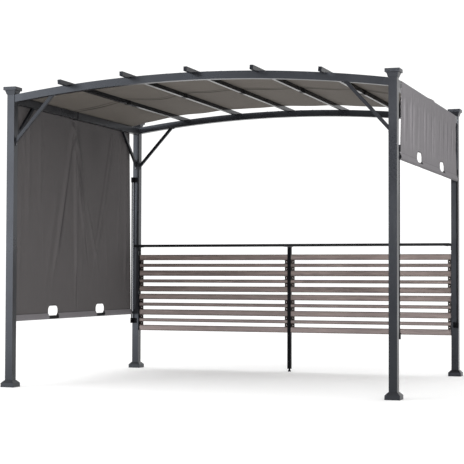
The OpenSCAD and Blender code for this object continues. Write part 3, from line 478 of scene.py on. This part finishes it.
# %% Soft edges and finishes for the rigid parts
def soften(node, width):
    """Modifiers that weld a part's triangles, clear flat edges and round the sharp ones to
    'width'."""
    node.data.polygons.foreach_set("use_smooth", np.ones(len(node.data.polygons), bool))
    weld = node.modifiers.new("weld", "WELD")
    weld.merge_threshold = 0.00002
    flat = node.modifiers.new("flat", "DECIMATE")
    flat.decimate_type = "DISSOLVE"
    flat.angle_limit = math.radians(0.5)
    edge = node.modifiers.new("edge", "BEVEL")
    edge.width = width
    edge.segments = 2
    edge.limit_method = "ANGLE"
    edge.angle_limit = math.radians(40)
    edge.use_clamp_overlap = True
    split = node.modifiers.new("split", "EDGE_SPLIT")
    split.split_angle = math.radians(50)
    even = node.modifiers.new("even", "WEIGHTED_NORMAL")
    even.keep_sharp = True


def dress(node, material):
    """Puts one material on a part in place of the one that it came with."""
    node.data.materials.clear()
    node.data.materials.append(material)


# Each material slot has a finish and the width of its rounded edges, and a few parts have a
# finish of their own.
finish_of = {
    "frame_paint": (charcoal, 0.0020),
    "dark_paint": (black, 0.0008),
    "moulded_trim": (moulded, 0.0025),
    "fixings": (zinc, 0.0005),
    "slat_board": (slat_wood, 0.0025),
    "stile_board": (stile_wood, 0.0012),
    "shelf_board": (shelf_black, 0.0025),
}
own_finish = {"centre_post": black_with_cap_highlight, "slat_screws": black}
# Painted shade: the rafters and the back and side braces take the darkest copy of the coat, the front
# braces the other.
own_finish.update({f"rafter_{i}": rafter_coat for i in range(1, 6)})
own_finish.update({f"{side}_knee_braces": rafter_coat for side in ("back", "left", "right")})
own_finish["front_knee_braces"] = brace_coat
done = []
for part in frame["record"]["subparts"]:
    if part["material_slot"] in finish_of:
        material, width = finish_of[part["material_slot"]]
        material = own_finish.get(part["node"], material)
        dress(nodes[part["node"]], material)
        soften(nodes[part["node"]], width)
        done.append(part["node"])
print("dressed", len(done), "rigid parts")

# %% [markdown]
# ## One cloth, five pieces
# On the real pergola a single length of woven cloth lies on the rafters, bends
# over the side beams and hangs down, with a tube in the hem at each end. When
# the hem at one side goes down, the other goes up. So that the pieces can
# move, the cloth is cut at the side beams and above the hand holes: a roof
# that stays, two drapes, and two hem bands that slide with their tubes. They
# share one set of sizes and one weave.

# %% Sizes shared by the cloth
CLOTH = 0.002  # thickness
CLEAR = 0.0003  # gap to what the cloth touches
SPAN_X, SPAN_Y = 2.960, 2.400  # between the middles of the posts
ROOF_HALF = SPAN_Y / 2 - 0.195  # half widths, from the roof...
DRAPE_HALF = SPAN_Y / 2 - 0.128  # ...over a drape's top...
HEM_HALF = SPAN_Y / 2 - 0.080  # ...to the hem
TAPER_X = SPAN_X / 2 - 0.160  # where the roof starts to widen
ARCH_RISE, ARCH_END = 0.104, 2.221  # height of the arch and of its ends
FACE_X = SPAN_X / 2 - 0.030  # inner face of a post
ARCH_R = (FACE_X**2 + ARCH_RISE**2) / (2 * ARCH_RISE)  # radius and middle of the arch
ARCH_C = ARCH_END + ARCH_RISE - ARCH_R
RAFTER_LET_IN, RAFTER_H = 0.013, 0.032  # how a rafter sits in the arch
RAFTER_TOP_R = ARCH_R - RAFTER_LET_IN + RAFTER_H
RAFTER_PITCH, RAFTER_W = 0.500, 0.025
BEAM_OUT, BEAM_TOP = SPAN_X / 2 + 0.025, 2.212  # outer face and top of a side beam
EDGE_R = CLEAR + CLOTH / 2
ROOF_EDGE = BEAM_TOP - 0.006  # where the roof piece ends
DRAPE_TOP = ROOF_EDGE - CLEAR
ROD_X = SPAN_X / 2 + 0.026  # the guide rods
LEFT_HEM, RIGHT_HEM = 0.5074, 1.6720  # heights of the hem tubes
BAND_H = 0.133
HEM_TUBE_R = 0.0125

# %% Turning grids of points into cloth
def join_grids(grids):
    """Points, faces, UV and marks of several grids. Each grid is (points, uv, marks), as rows x
    columns x 3, x 2 and x 3 arrays. Points that meet are merged by rounding them to a hundredth
    of a millimetre."""
    points, coords, marks, quads, start = [], [], [], [], 0
    for p, uv, mark in grids:
        rows, cols = p.shape[:2]
        index = start + np.arange(rows * cols).reshape(rows, cols)
        quads.append(np.stack(
            [index[:-1, :-1], index[:-1, 1:], index[1:, 1:], index[1:, :-1]], -1).reshape(-1, 4))
        points.append(p.reshape(-1, 3))
        coords.append(uv.reshape(-1, 2))
        marks.append(mark.reshape(-1, 3))
        start += rows * cols
    points, coords, marks = np.concatenate(points), np.concatenate(coords), np.concatenate(marks)
    quads = np.concatenate(quads)
    _, first, back = np.unique(np.round(points, 5), axis=0, return_index=True, return_inverse=True)
    return points[first], back.reshape(-1)[quads], coords[quads], marks[first]


def cloth_object(name, grids, materials):
    """A cloth piece from grids: quads with a UV map in metres, smooth, with a solid thickness.
    The back of the cloth takes the second material, and its cut edges are sharp. Three marks are
    kept at every point for the finish: the distance from the free edge, how much the point
    belongs to a bound hole, and how much painted shade it takes along a crease."""
    points, quads, coords, marks = join_grids(grids)
    mesh = bpy.data.meshes.new(name)
    mesh.from_pydata(points.tolist(), [], quads.tolist())
    layer = mesh.uv_layers.new(name="cloth")
    layer.data.foreach_set("uv", coords.reshape(-1).astype(np.float32))
    for i, label in enumerate(("from_edge", "bound", "crease")):
        attribute = mesh.attributes.new(label, "FLOAT", "POINT")
        attribute.data.foreach_set("value", marks[:, i].astype(np.float32))
    mesh.polygons.foreach_set("use_smooth", np.ones(len(mesh.polygons), bool))
    edge_of_corner = np.empty(len(mesh.loops), np.int32)
    mesh.loops.foreach_get("edge_index", edge_of_corner)
    faces_at_edge = np.bincount(edge_of_corner, minlength=len(mesh.edges))
    mesh.edges.foreach_set("use_edge_sharp", faces_at_edge == 1)
    for material in materials:
        mesh.materials.append(material)
    mesh.update()
    piece = bpy.data.objects.new(name, mesh)
    bpy.context.scene.collection.objects.link(piece)
    wall = piece.modifiers.new("thickness", "SOLIDIFY")
    wall.thickness = CLOTH
    wall.offset = 0.0
    wall.material_offset = len(materials) - 1
    print(name, len(points), "points,", len(quads), "quads")
    return piece


def area_of(grids):
    """Area of the grids' quads: half the length of the cross product of each quad's diagonals."""
    total = 0.0
    for p, *_ in grids:
        a = p[1:, 1:] - p[:-1, :-1]
        b = p[1:, :-1] - p[:-1, 1:]
        total += 0.5 * np.linalg.norm(np.cross(a, b), axis=-1).sum()
    return float(total)


# %% [markdown]
# ### Cloth finish
# The cloth is a woven polyester, seen from outside at the right drape and from
# inside everywhere else. The inside is a darker copy of the cloth, as painted
# shade, and the underside of the roof is a warmer copy, painted to the light
# under the roof. All three use the weave group on the cloth's own UV map, which
# is in metres, so that the threads follow the folds. Seams are sewn lines: the side
# hems run at one distance from the free edge, and the hem pockets are sewn
# at one distance along the cloth. The UV maps of the two sides are moved well
# apart along the cloth, so that neither seam can fall on another piece. The
# hand holes are bound with dark tape.

# %% Group: sewn lines
HEM_FOLD = 0.022
POCKET_SEAM = 0.037
SIDE_SHIFT = 5.0
left_seam = DRAPE_TOP - LEFT_HEM - POCKET_SEAM - SIDE_SHIFT
right_seam = DRAPE_TOP - RIGHT_HEM - POCKET_SEAM + SIDE_SHIFT

sewn, entry, leave = make_group(
    "sewn_lines",
    [("Vector", VECTOR, None), ("Edge", FLOAT, 1.0), ("Width", FLOAT, 0.0016)],
    [("Mask", FLOAT)],
)
split = add(sewn, "ShaderNodeSeparateXYZ")
wire(entry, "Vector", split, 0)
nearest = None
for source, place in ((entry.outputs["Edge"], HEM_FOLD), (split.outputs["Y"], left_seam),
                      (split.outputs["Y"], right_seam)):
    offset = add(sewn, "ShaderNodeMath", operation="SUBTRACT", in_1=place)
    apart = add(sewn, "ShaderNodeMath", operation="ABSOLUTE")
    sewn.links.new(source, offset.inputs[0])
    wire(offset, 0, apart, 0)
    if nearest is None:
        nearest = apart
        continue
    closer = add(sewn, "ShaderNodeMath", operation="MINIMUM")
    wire(nearest, 0, closer, 0)
    wire(apart, 0, closer, 1)
    nearest = closer
share = add(sewn, "ShaderNodeMath", operation="DIVIDE")
line = add(sewn, "ShaderNodeMapRange", in_1=0.4, in_2=1.2, in_3=1.0, in_4=0.0)
wire(nearest, 0, share, 0)
wire(entry, "Width", share, 1)
wire(share, 0, line, 0)
wire(line, 0, leave, "Mask")
print("group", sewn.name)

# %% Cloth finish
THREADS, WEAVE_STRENGTH, TAPE_COLOR = 130.0, 0.35, (0.012, 0.011, 0.012, 1)


def cloth_finish(name, color, seam_and_shade_color, mottle):
    """A woven cloth: the weave group gives colour and height, sewn lines are darker and
    pressed in, the creases take a painted shade, and the tape round a hand hole is nearly black."""
    material, tree, shader = new_material(name)
    place = add(tree, "ShaderNodeUVMap", uv_map="cloth")
    group = add(tree, "ShaderNodeGroup", node_tree=weave)
    group.inputs["Color"].default_value = (*color, 1)
    group.inputs["Threads"].default_value = THREADS
    group.inputs["Mottle"].default_value = mottle
    edge = add(tree, "ShaderNodeAttribute", attribute_type="GEOMETRY", attribute_name="from_edge")
    tape = add(tree, "ShaderNodeAttribute", attribute_type="GEOMETRY", attribute_name="bound")
    fold = add(tree, "ShaderNodeAttribute", attribute_type="GEOMETRY", attribute_name="crease")
    # Painted shade along the creases, in the same dark colour as the sewn lines.
    crease_shade_mix = add(tree, "ShaderNodeMixRGB", blend_type="MIX", in_Color2=(*seam_and_shade_color, 1))
    lines = add(tree, "ShaderNodeGroup", node_tree=sewn)
    seamed = add(tree, "ShaderNodeMixRGB", blend_type="MIX", in_Color2=(*seam_and_shade_color, 1))
    bound = add(tree, "ShaderNodeMixRGB", blend_type="MIX", in_Color2=TAPE_COLOR)
    pressed = add(tree, "ShaderNodeMath", operation="MULTIPLY_ADD", in_1=-2.0)
    relief = add(tree, "ShaderNodeBump", in_Strength=WEAVE_STRENGTH, in_Distance=0.0006)
    wire(place, "UV", group, "Vector")
    wire(place, "UV", lines, "Vector")
    wire(edge, "Fac", lines, "Edge")
    wire(lines, "Mask", seamed, "Fac")
    wire(group, "Color", seamed, "Color1")
    wire(tape, "Fac", bound, "Fac")
    wire(fold, "Fac", crease_shade_mix, "Fac")
    wire(seamed, "Color", crease_shade_mix, "Color1")
    wire(crease_shade_mix, "Color", bound, "Color1")
    wire(bound, "Color", shader, "Base Color")
    wire(lines, "Mask", pressed, 0)
    wire(group, "Height", pressed, 2)
    wire(pressed, 0, relief, "Height")
    wire(relief, "Normal", shader, "Normal")
    shader.inputs["Roughness"].default_value = 0.85
    shader.inputs["Specular IOR Level"].default_value = 0.20
    return material


# One cloth in three copies: the outside, the inside painted darker as painted shade, and the
# underside of the roof warmer, painted to the light under the roof.
outer_cloth = cloth_finish("cloth_outside", (0.125, 0.119, 0.125), (0.070, 0.066, 0.070), 0.14)
inner_cloth = cloth_finish("cloth_inside", (0.063, 0.0585, 0.059), (0.026, 0.024, 0.025), 0.16)
under_roof = cloth_finish("cloth_under_roof", (0.122, 0.109, 0.095), (0.034, 0.031, 0.028), 0.14)
print("cloth finishes", outer_cloth.name, inner_cloth.name, under_roof.name)

# %% [markdown]
# ### The roof
# The roof follows the tops of the rafters along a circle, runs straight from
# the last rafter to the side beam and turns down over it. Cloth is never quite
# taut, so between two rafters it sags by a few millimetres, and a crease from
# its folding runs across all the bays near the middle. The profile is worked
# out once, as distance along the cloth, and carried across the width, which
# grows a little near the side beams to meet the drapes. The columns are closer
# together where the crease runs, which keeps it sharp with few faces.

# %% Roof profile
def ease(t):
    """Zero below 0, one above 1, and the smooth cubic 3t2 - 2t3 between."""
    t = np.clip(t, 0.0, 1.0)
    return t * t * (3 - 2 * t)


def roof_profile(step):
    """X and Z of the right half of the roof's mid line, evenly spaced: an arc over the
    rafters, a straight run to the beam and a quarter turn down round its edge."""
    radius = RAFTER_TOP_R + EDGE_R
    a_end = math.asin(2 * RAFTER_PITCH / ARCH_R) + math.asin(RAFTER_W / 2 / radius)
    a = np.linspace(0, a_end, 400)
    arc = np.stack([radius * np.sin(a), ARCH_C + radius * np.cos(a)], 1)
    fall = math.atan2(arc[-1, 1] - BEAM_TOP - EDGE_R, BEAM_OUT - arc[-1, 0])
    b = np.linspace(fall, math.pi / 2, 12)
    bend = np.stack([BEAM_OUT + EDGE_R * np.sin(b), BEAM_TOP + EDGE_R * np.cos(b)], 1)
    line = np.concatenate([arc, bend, [[BEAM_OUT + EDGE_R, ROOF_EDGE]]])
    length = np.concatenate([[0], np.cumsum(np.linalg.norm(np.diff(line, axis=0), axis=1))])
    keep = np.concatenate([np.arange(0, length[-13], step), length[-13:]])
    return np.interp(keep, length, line[:, 0]), np.interp(keep, length, line[:, 1]), keep


def roof_half_width(x):
    """Half the roof's width at x: one width over the rafters, then a straight change to the
    width of a drape at the beam's edge."""
    share = np.clip((np.abs(x) - TAPER_X) / (BEAM_OUT + EDGE_R - TAPER_X), 0, 1)
    return ROOF_HALF + (DRAPE_HALF - ROOF_HALF) * share


half_x, half_z, half_s = roof_profile(0.015)
line_x = np.concatenate([-half_x[:0:-1], half_x])
line_z = np.concatenate([half_z[:0:-1], half_z])
line_s = np.concatenate([-half_s[:0:-1], half_s])
print("half length of the roof cloth", round(float(half_s[-1]), 4))

# %% Roof surface
SAG = 0.006
SIDE_JOINT = 0.115  # Y of the joint in the right beam, where its strap lies
STRAP_LIFT = 0.008


def sag_at(x, v):
    """How far the cloth hangs below the rafter tops: a squared half wave between each pair
    of rafters, deepest near the free edges, and none on a rafter or a beam."""
    bay = np.mod(np.abs(x), RAFTER_PITCH)
    inner = np.clip((bay - RAFTER_W / 2) / (RAFTER_PITCH - RAFTER_W), 0, 1)
    last = np.clip((np.abs(x) - 2 * RAFTER_PITCH - RAFTER_W / 2) / 0.40, 0, 1)
    wave = np.where(np.abs(x) < 2 * RAFTER_PITCH, np.sin(np.pi * inner) ** 2,
                    0.6 * np.sin(np.pi * last) ** 2)
    return SAG * wave * (0.55 + 0.45 * np.abs(v) ** 6)


def bump(d, w):
    """A smooth hill of half width w: exp of minus the square of d over w."""
    return np.exp(-((d / w) ** 2))


def wrinkles(a, b, seed, count, reach, width, length):
    """Small creases at random: a sum of narrow slanting hills on the plane (a, b), which lie
    within +-reach of the middle, each fading along b over its own length."""
    rng = np.random.default_rng(seed)
    total = np.zeros_like(a)
    for _ in range(count):
        a0, b0 = rng.uniform(-reach[0], reach[0]), rng.uniform(-reach[1], reach[1])
        slope, w = rng.normal(0, 0.25), rng.uniform(*width)
        l = rng.uniform(*length)
        total += rng.uniform(-1, 1) * bump(a - a0 - slope * (b - b0), w) * bump(b - b0, l)
    return total


def crease_middle(x):
    """Y of the crease across the bays: near the joint of the side beams, bent towards the
    back in the middle of the left bays."""
    bay = np.mod(np.abs(x), RAFTER_PITCH) / RAFTER_PITCH
    left = ease((-0.45 - x) / 0.1) * ease((x + 1.05) / 0.1)
    return -0.115 + np.sin(np.pi * bay) ** 2 * (0.035 + 0.10 * left) + 0.012 * np.sin(7.0 * x)


def cross_crease(x, y):
    """Height of the crease across the bays, a narrow ridge with a weaker one in front of it."""
    off = y - crease_middle(x)
    second = 0.0040 * bump(off + 0.07, 0.014) * (0.7 + 0.3 * np.sin(5.0 * x + 1))
    return 0.0055 * bump(off, 0.012) + second


def strap_lift(x, y, z):
    """How far the strap's lip holds the cloth up over the right beam: a slow rise along Y, a
    quick fall behind the joint, and none away from the beam."""
    along = ease((y + 0.16) / 0.24) * ease((SIDE_JOINT + 0.035 - y) / 0.035)
    return STRAP_LIFT * along * ease((x - 1.30) / 0.16) * (z > BEAM_TOP)


cols = np.concatenate([np.linspace(-1, -0.22, 68, endpoint=False),
                       np.linspace(-0.22, 0.04, 68, endpoint=False), np.linspace(0.04, 1, 80)])
v, x = np.meshgrid(cols, line_x)
y = v * roof_half_width(x)
z = np.repeat(line_z[:, None], len(cols), 1) - sag_at(x, v)
ripple = 0.0012 * np.sin(21 * x + 1.3) * np.sin(9 * v + 2.1 * x)
ripple = ripple + 0.0013 * wrinkles(y, x, 5, 70, (1.0, 1.3), (0.012, 0.030), (0.06, 0.22))
# Ripples fade out towards each rafter, and all relief ends before the side beams.
on_rafter = np.abs(np.mod(x + RAFTER_PITCH / 2, RAFTER_PITCH) - RAFTER_PITCH / 2)
free = ease((on_rafter - RAFTER_W / 2) / 0.06) * ease((1.42 - np.abs(x)) / 0.08)
z = z + ripple * free + cross_crease(x, y) * ease((1.47 - np.abs(x)) / 0.05) + strap_lift(x, y, z)
roof_points = np.stack([x, y, z], -1)
roof_uv = np.stack([y, np.repeat(line_s[:, None], len(cols), 1)], -1)
# Painted shade along the cross crease and the weaker one in front of it, kept as the crease mark.
off = y - crease_middle(x)
roof_crease_shade = bump(off - 0.008, 0.012) + 0.8 * bump(off + 0.062, 0.011)
roof_crease_shade = roof_crease_shade * (0.75 + 0.25 * np.sin(13 * x))
roof_marks = np.stack([roof_half_width(x) - np.abs(y), 0 * y, roof_crease_shade], -1)
roof_grids = [(roof_points[:, ::-1], roof_uv[:, ::-1], roof_marks[:, ::-1])]
roof = cloth_object("roof_cloth", roof_grids, [outer_cloth, under_roof])
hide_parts("roof_canopy")
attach(roof, "frame")

# %% [markdown]
# ### The drapes
# The long drape at the left hangs nearly flat, and its weight pulls sharp
# folds: one close to the middle runs from the beam to the hem, and others
# spread out below it like a tent. The short drape at the right has little
# weight below it, so it ripples from side to side. Both are the same function
# of two parameters, across and down, with another fold formula. A fold is a
# narrow hill that follows a line down the cloth and has its own start and end.

# %% Fold formulas
def fold_line(y, down, top_y, low_y, start, stop, width):
    """A fold of height one: a hill of half width 'width' beside the line that goes from top_y
    at down 0 to low_y at down 1, fading in at 'start' and out at 'stop'."""
    line = top_y + (low_y - top_y) * down
    return bump(y - line, width) * ease((down - start) / 0.12) * ease((stop - down) / 0.25)


LONG_FOLDS = [
    # height in mm, Y at the top and at the hem, where it starts and stops, half width
    (20.0, -0.092, -0.034, -0.10, 1.05, 0.018),
    (-20.0, -0.062, 0.000, -0.10, 1.10, 0.011),
    (18.0, -0.078, -0.520, -0.10, 0.98, 0.028),
    (12.0, -0.142, 0.250, 0.00, 0.80, 0.018),
    (-12.0, -0.108, 0.288, 0.00, 0.85, 0.012),
    (14.0, -0.110, 0.500, 0.10, 0.90, 0.026),
    (-12.0, -0.038, -0.440, -0.05, 0.85, 0.024),
    (-11.0, -0.150, 0.560, 0.20, 0.85, 0.030),
    (13.0, 0.720, 0.240, -0.02, 0.92, 0.026),
    (-6.4, 0.770, 0.310, 0.00, 0.80, 0.030),
    (8.0, 0.870, 0.800, -0.05, 0.80, 0.022),
    (9.6, 0.980, 1.000, -0.05, 1.00, 0.030),
    (4.8, 0.450, 0.620, 0.30, 1.00, 0.035),
    (8.0, -0.880, -0.900, -0.05, 0.70, 0.035),
    (6.4, -0.680, -0.720, 0.05, 0.60, 0.030),
    (6.4, -1.020, -0.800, 0.00, 0.45, 0.028),
    (8.0, -0.220, -0.620, 0.35, 1.05, 0.045),
    (4.8, -1.000, -1.030, 0.30, 1.00, 0.030),
    (4.8, 0.150, 0.050, 0.25, 1.00, 0.030),
]


# Painted shade along the folds of the long drape.
LONG_CREASE_SHADES = [
    # strength of the painted shade, Y at the top and at the hem, where it starts and stops, half
    # width
    (0.90, -0.072, -0.012, -0.10, 1.10, 0.007),
    (0.42, -0.020, 0.230, -0.10, 0.62, 0.034),
    (0.55, -0.034, -0.440, -0.10, 0.80, 0.012),
    (0.50, -0.112, 0.284, 0.00, 0.85, 0.010),
    (0.55, -0.040, -0.036, 0.25, 1.15, 0.004),
    (0.45, 0.000, 0.004, 0.25, 1.15, 0.004),
    (0.35, 0.690, 0.200, 0.00, 0.80, 0.012),
    (0.22, 0.330, 0.300, -0.10, 0.40, 0.120),
]


def long_crease_shade(y, down):
    """Painted shade along the folds of the long drape: the sum of its crease lines."""
    return sum(s * fold_line(y, down, *rest) for s, *rest in LONG_CREASE_SHADES)


def long_fold(y, down):
    """Inward form of the long drape, in metres: the sum of its folds."""
    total = np.zeros_like(y)
    for height, top_y, low_y, start, stop, width in LONG_FOLDS:
        total += 0.001 * height * fold_line(y, down, top_y, low_y, start, stop, width)
    return total + 0.0016 * wrinkles(y, down, 3, 60, (1.1, 1.0), (0.012, 0.030), (0.05, 0.25))


def short_fold(y, down):
    """Inward form of the short drape, in metres: three waves of different length whose
    phase wanders along the cloth, and a gather below the joint of the beam."""
    wander = 0.9 * np.sin(3.1 * y + 0.5) + 0.5 * np.sin(7.3 * y)
    off = y - SIDE_JOINT
    gather = bump(off - 0.04 * down, 0.05) - bump(off + 0.06 + 0.05 * down, 0.03)
    return (
        0.0060 * np.sin(2 * np.pi * y / 0.175 + wander + 0.5 * down)
        + 0.0052 * np.sin(2 * np.pi * y / 0.098 - 1.4 * wander)
        + 0.0034 * np.sin(2 * np.pi * y / 0.056 + 2.0 * wander + 0.8 * down)
        + 0.0110 * gather * (1 - 0.5 * down)
        + 0.0008 * wrinkles(y, down, 8, 40, (1.1, 1.0), (0.010, 0.020), (0.2, 0.6))
    )


FOLDS_FROM = 2.150  # below this height, under the side beam, the folds are free


def hem_wave(side, y):
    """Form that a drape still has where it meets its hem band, in metres."""
    fold = long_fold if side < 0 else short_fold
    return (0.35 if side < 0 else 0.45) * fold(y, np.full_like(y, 0.9))


def drape_grid(side, top, low, across, rows):
    """Points, UV and marks of a drape: straight lines from the beam's edge to the hem, moved
    out of their plane by the folds. The folds start below the beam, stay a little outside its
    face beside it, and change into the form of the hem band at the foot."""
    down, s = np.meshgrid(np.linspace(0, 1, rows), np.linspace(-1, 1, across), indexing="ij")
    half = DRAPE_HALF + (HEM_HALF - DRAPE_HALF) * down
    y = s * half
    x = (BEAM_OUT + EDGE_R) + (ROD_X - BEAM_OUT - EDGE_R) * down
    z = top + (low - top) * down
    fold = (long_fold if side < 0 else short_fold)(y, down)
    below = ease((FOLDS_FROM - z) / 0.10)
    beside = ease((top - z) / 0.03)
    inward = fold * below - 0.3 * np.abs(fold) * beside * (1 - below)
    foot = ease((down - 1) / (0.25 if side < 0 else 0.45) + 1)
    inward = inward * (1 - foot) + hem_wave(side, y) * foot
    points = np.stack([side * (x - inward), y, z], -1)
    uv = np.stack([y, (DRAPE_TOP - z) + side * SIDE_SHIFT], -1)
    # The crease mark is painted shade: in the valleys of the folds, and along the crease lines of the
    # long drape.
    if side < 0:
        crease = 0.7 * np.clip(-fold / 0.014 - 0.1, 0, 1) + long_crease_shade(y, down)
    else:
        crease = 0.9 * np.clip(-fold / 0.0126, 0, 1)
    crease = np.clip(crease, 0, 1) * below * (1 - 0.6 * foot)
    marks = np.stack([half - np.abs(y), 0 * y, crease], -1)
    if side < 0:
        return points, uv, marks
    return points[:, ::-1], uv[:, ::-1], marks[:, ::-1]


print("folds", len(LONG_FOLDS), "creases", len(LONG_CREASE_SHADES))

# %% Left drape
left_band_top = LEFT_HEM + BAND_H + CLEAR
left_grids = [drape_grid(-1, ROOF_EDGE, left_band_top, 381, 121)]
left_drape = cloth_object("left_drape_cloth", left_grids, [outer_cloth, inner_cloth])
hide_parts("left_drape")
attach(left_drape, "frame")
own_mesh(left_drape)

# %% Right drape
right_band_top = RIGHT_HEM + BAND_H + CLEAR
right_grids = [drape_grid(1, ROOF_EDGE, right_band_top, 381, 61)]
right_drape = cloth_object("right_drape_cloth", right_grids, [outer_cloth, inner_cloth])
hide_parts("right_drape")
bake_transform(right_drape)

# %% [markdown]
# ### The hem bands
# Below each drape the cloth ends in a pocket for the hem tube. The pocket is a
# flat drop in section: both layers leave the seam together, touch the tube and
# meet below it. Two rounded hand holes are cut above the tube, and there the
# inner half of the pocket is cut away, so that a hand can hold the tube. A
# Boolean would leave ragged faces, so the band is laid out in columns: outside
# a hole a column is a whole strip of cloth, and at a hole it is a short strip
# that starts at the hole's rounded upper edge.

# %% Hem band surface
POCKET = HEM_TUBE_R + 0.0005 + CLOTH / 2
HOLE_Y, HOLE_HALF, HOLE_TOP, HOLE_R = 0.450, 0.085, 0.093, 0.036
TAPE = 0.0045  # width of the tape round a hole


def hole_edge(d):
    """Height of a hand hole's upper edge at distance d from its middle: level, then a
    quarter circle down towards the side."""
    over = np.clip(np.abs(d) - (HOLE_HALF - HOLE_R), 0, HOLE_R)
    return HOLE_TOP - HOLE_R + np.sqrt(np.maximum(0, HOLE_R**2 - over**2))


def band_columns():
    """Y of the band's columns in runs: beside a hole, in a hole and so on, with close
    columns on both sides of a hole's edge."""
    marks = [-HEM_HALF]
    for c in (-HOLE_Y, HOLE_Y):
        marks += [c - HOLE_HALF, c + HOLE_HALF]
    marks.append(HEM_HALF)
    near = np.array([0.0, 0.5, 1.0, 1.15]) * TAPE
    runs = []
    for i, (a, b) in enumerate(zip(marks[:-1], marks[1:])):
        if i % 2:
            runs.append((a + b) / 2 - HOLE_HALF * np.cos(np.linspace(0, np.pi, 41)))
        else:
            runs.append(np.concatenate([a + near, np.linspace(a, b, 82)[2:-2], (b - near)[::-1]]))
    return runs


def pocket_path():
    """X and Z of the pocket's section from the seam round the tube and back: a straight line
    to the tube's circle, the circle's lower part, and a straight line that stops short."""
    open_a = math.acos(POCKET / POCKET_SEAM)
    turn = np.radians(90) - open_a - np.linspace(0, 2 * (np.pi - open_a), 25)
    circle = np.stack([POCKET * np.cos(turn), POCKET * np.sin(turn)], 1)
    seam = np.array([0.0, POCKET_SEAM])
    levels = np.array([POCKET_SEAM, 0.029, 0.021, POCKET])
    out = seam + (circle[0] - seam) * ((POCKET_SEAM - levels) / (POCKET_SEAM - circle[0, 1]))[:, None]
    back = circle[-1] + (seam - circle[-1]) * np.array([0.3, 0.6, 0.86])[:, None]
    return np.concatenate([out, circle, back])


def hem_band(name, side, hem_z, body):
    """A band from strips: upper strips that start at the seam or at a hole's edge, and the
    pocket, of which only the outer lower quarter is left at a hole."""
    level = HOLE_TOP - HOLE_R
    top = BAND_H + CLEAR
    path = pocket_path()
    bottom = int(np.argmin(path[:, 1])) + 1
    strips = []
    for i, ys in enumerate(band_columns()):
        at_hole = i % 2 == 1
        low = hole_edge(ys - np.round(ys / HOLE_Y) * HOLE_Y) if at_hole else np.full_like(ys, level)
        rise = np.array([0, 0.04, 0.08, 0.1, 0.2, 0.35, 0.5, 0.65, 0.8, 0.9, 1.0])[:, None]
        z = low[None, :] + (top - low[None, :]) * rise
        strips.append((np.zeros_like(z), ys, z))
        if not at_hole:
            z = np.linspace(POCKET_SEAM, level, 6)[:, None] + 0 * ys[None, :]
            strips.append((np.zeros_like(z), ys, z))
        section = (path[3:bottom] if at_hole else path)[::-1]
        strips.append((section[:, :1] + 0 * ys, ys, section[:, 1:] + 0 * ys))
    made = []
    for dx, ys, z in strips:
        y = np.repeat(ys[None, :], len(z), 0)
        hang = ease((z - POCKET_SEAM) / (top - POCKET_SEAM))
        points = np.stack([side * (ROD_X + dx - hem_wave(side, y) * hang), y, hem_z + z], -1)
        uv = np.stack([y, (DRAPE_TOP - hem_z - z) + side * SIDE_SHIFT], -1)
        d = y - np.where(y < 0, -HOLE_Y, HOLE_Y)
        aside = np.maximum(np.abs(d) - HOLE_HALF, 0)
        above = np.maximum(z - hole_edge(np.clip(d, -HOLE_HALF, HOLE_HALF)), 0)
        bound = (np.hypot(aside, above) < 1.05 * TAPE) * (z > POCKET - 0.0001)
        marks = np.stack([HEM_HALF - np.abs(y), bound.astype(float), 0 * y], -1)
        if side < 0:
            points, uv, marks = points[:, ::-1], uv[:, ::-1], marks[:, ::-1]
        made.append((points, uv, marks))
    piece = cloth_object(name, made, [outer_cloth, inner_cloth])
    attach(piece, body)
    return piece, area_of(made)


left_band, left_band_area = hem_band("left_band_cloth", -1, LEFT_HEM, "left_hem")
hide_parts("left_hem_band")
right_band, right_band_area = hem_band("right_band_cloth", 1, RIGHT_HEM, "right_hem")
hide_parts("right_hem_band")
print("band areas", round(left_band_area, 3), round(right_band_area, 3))
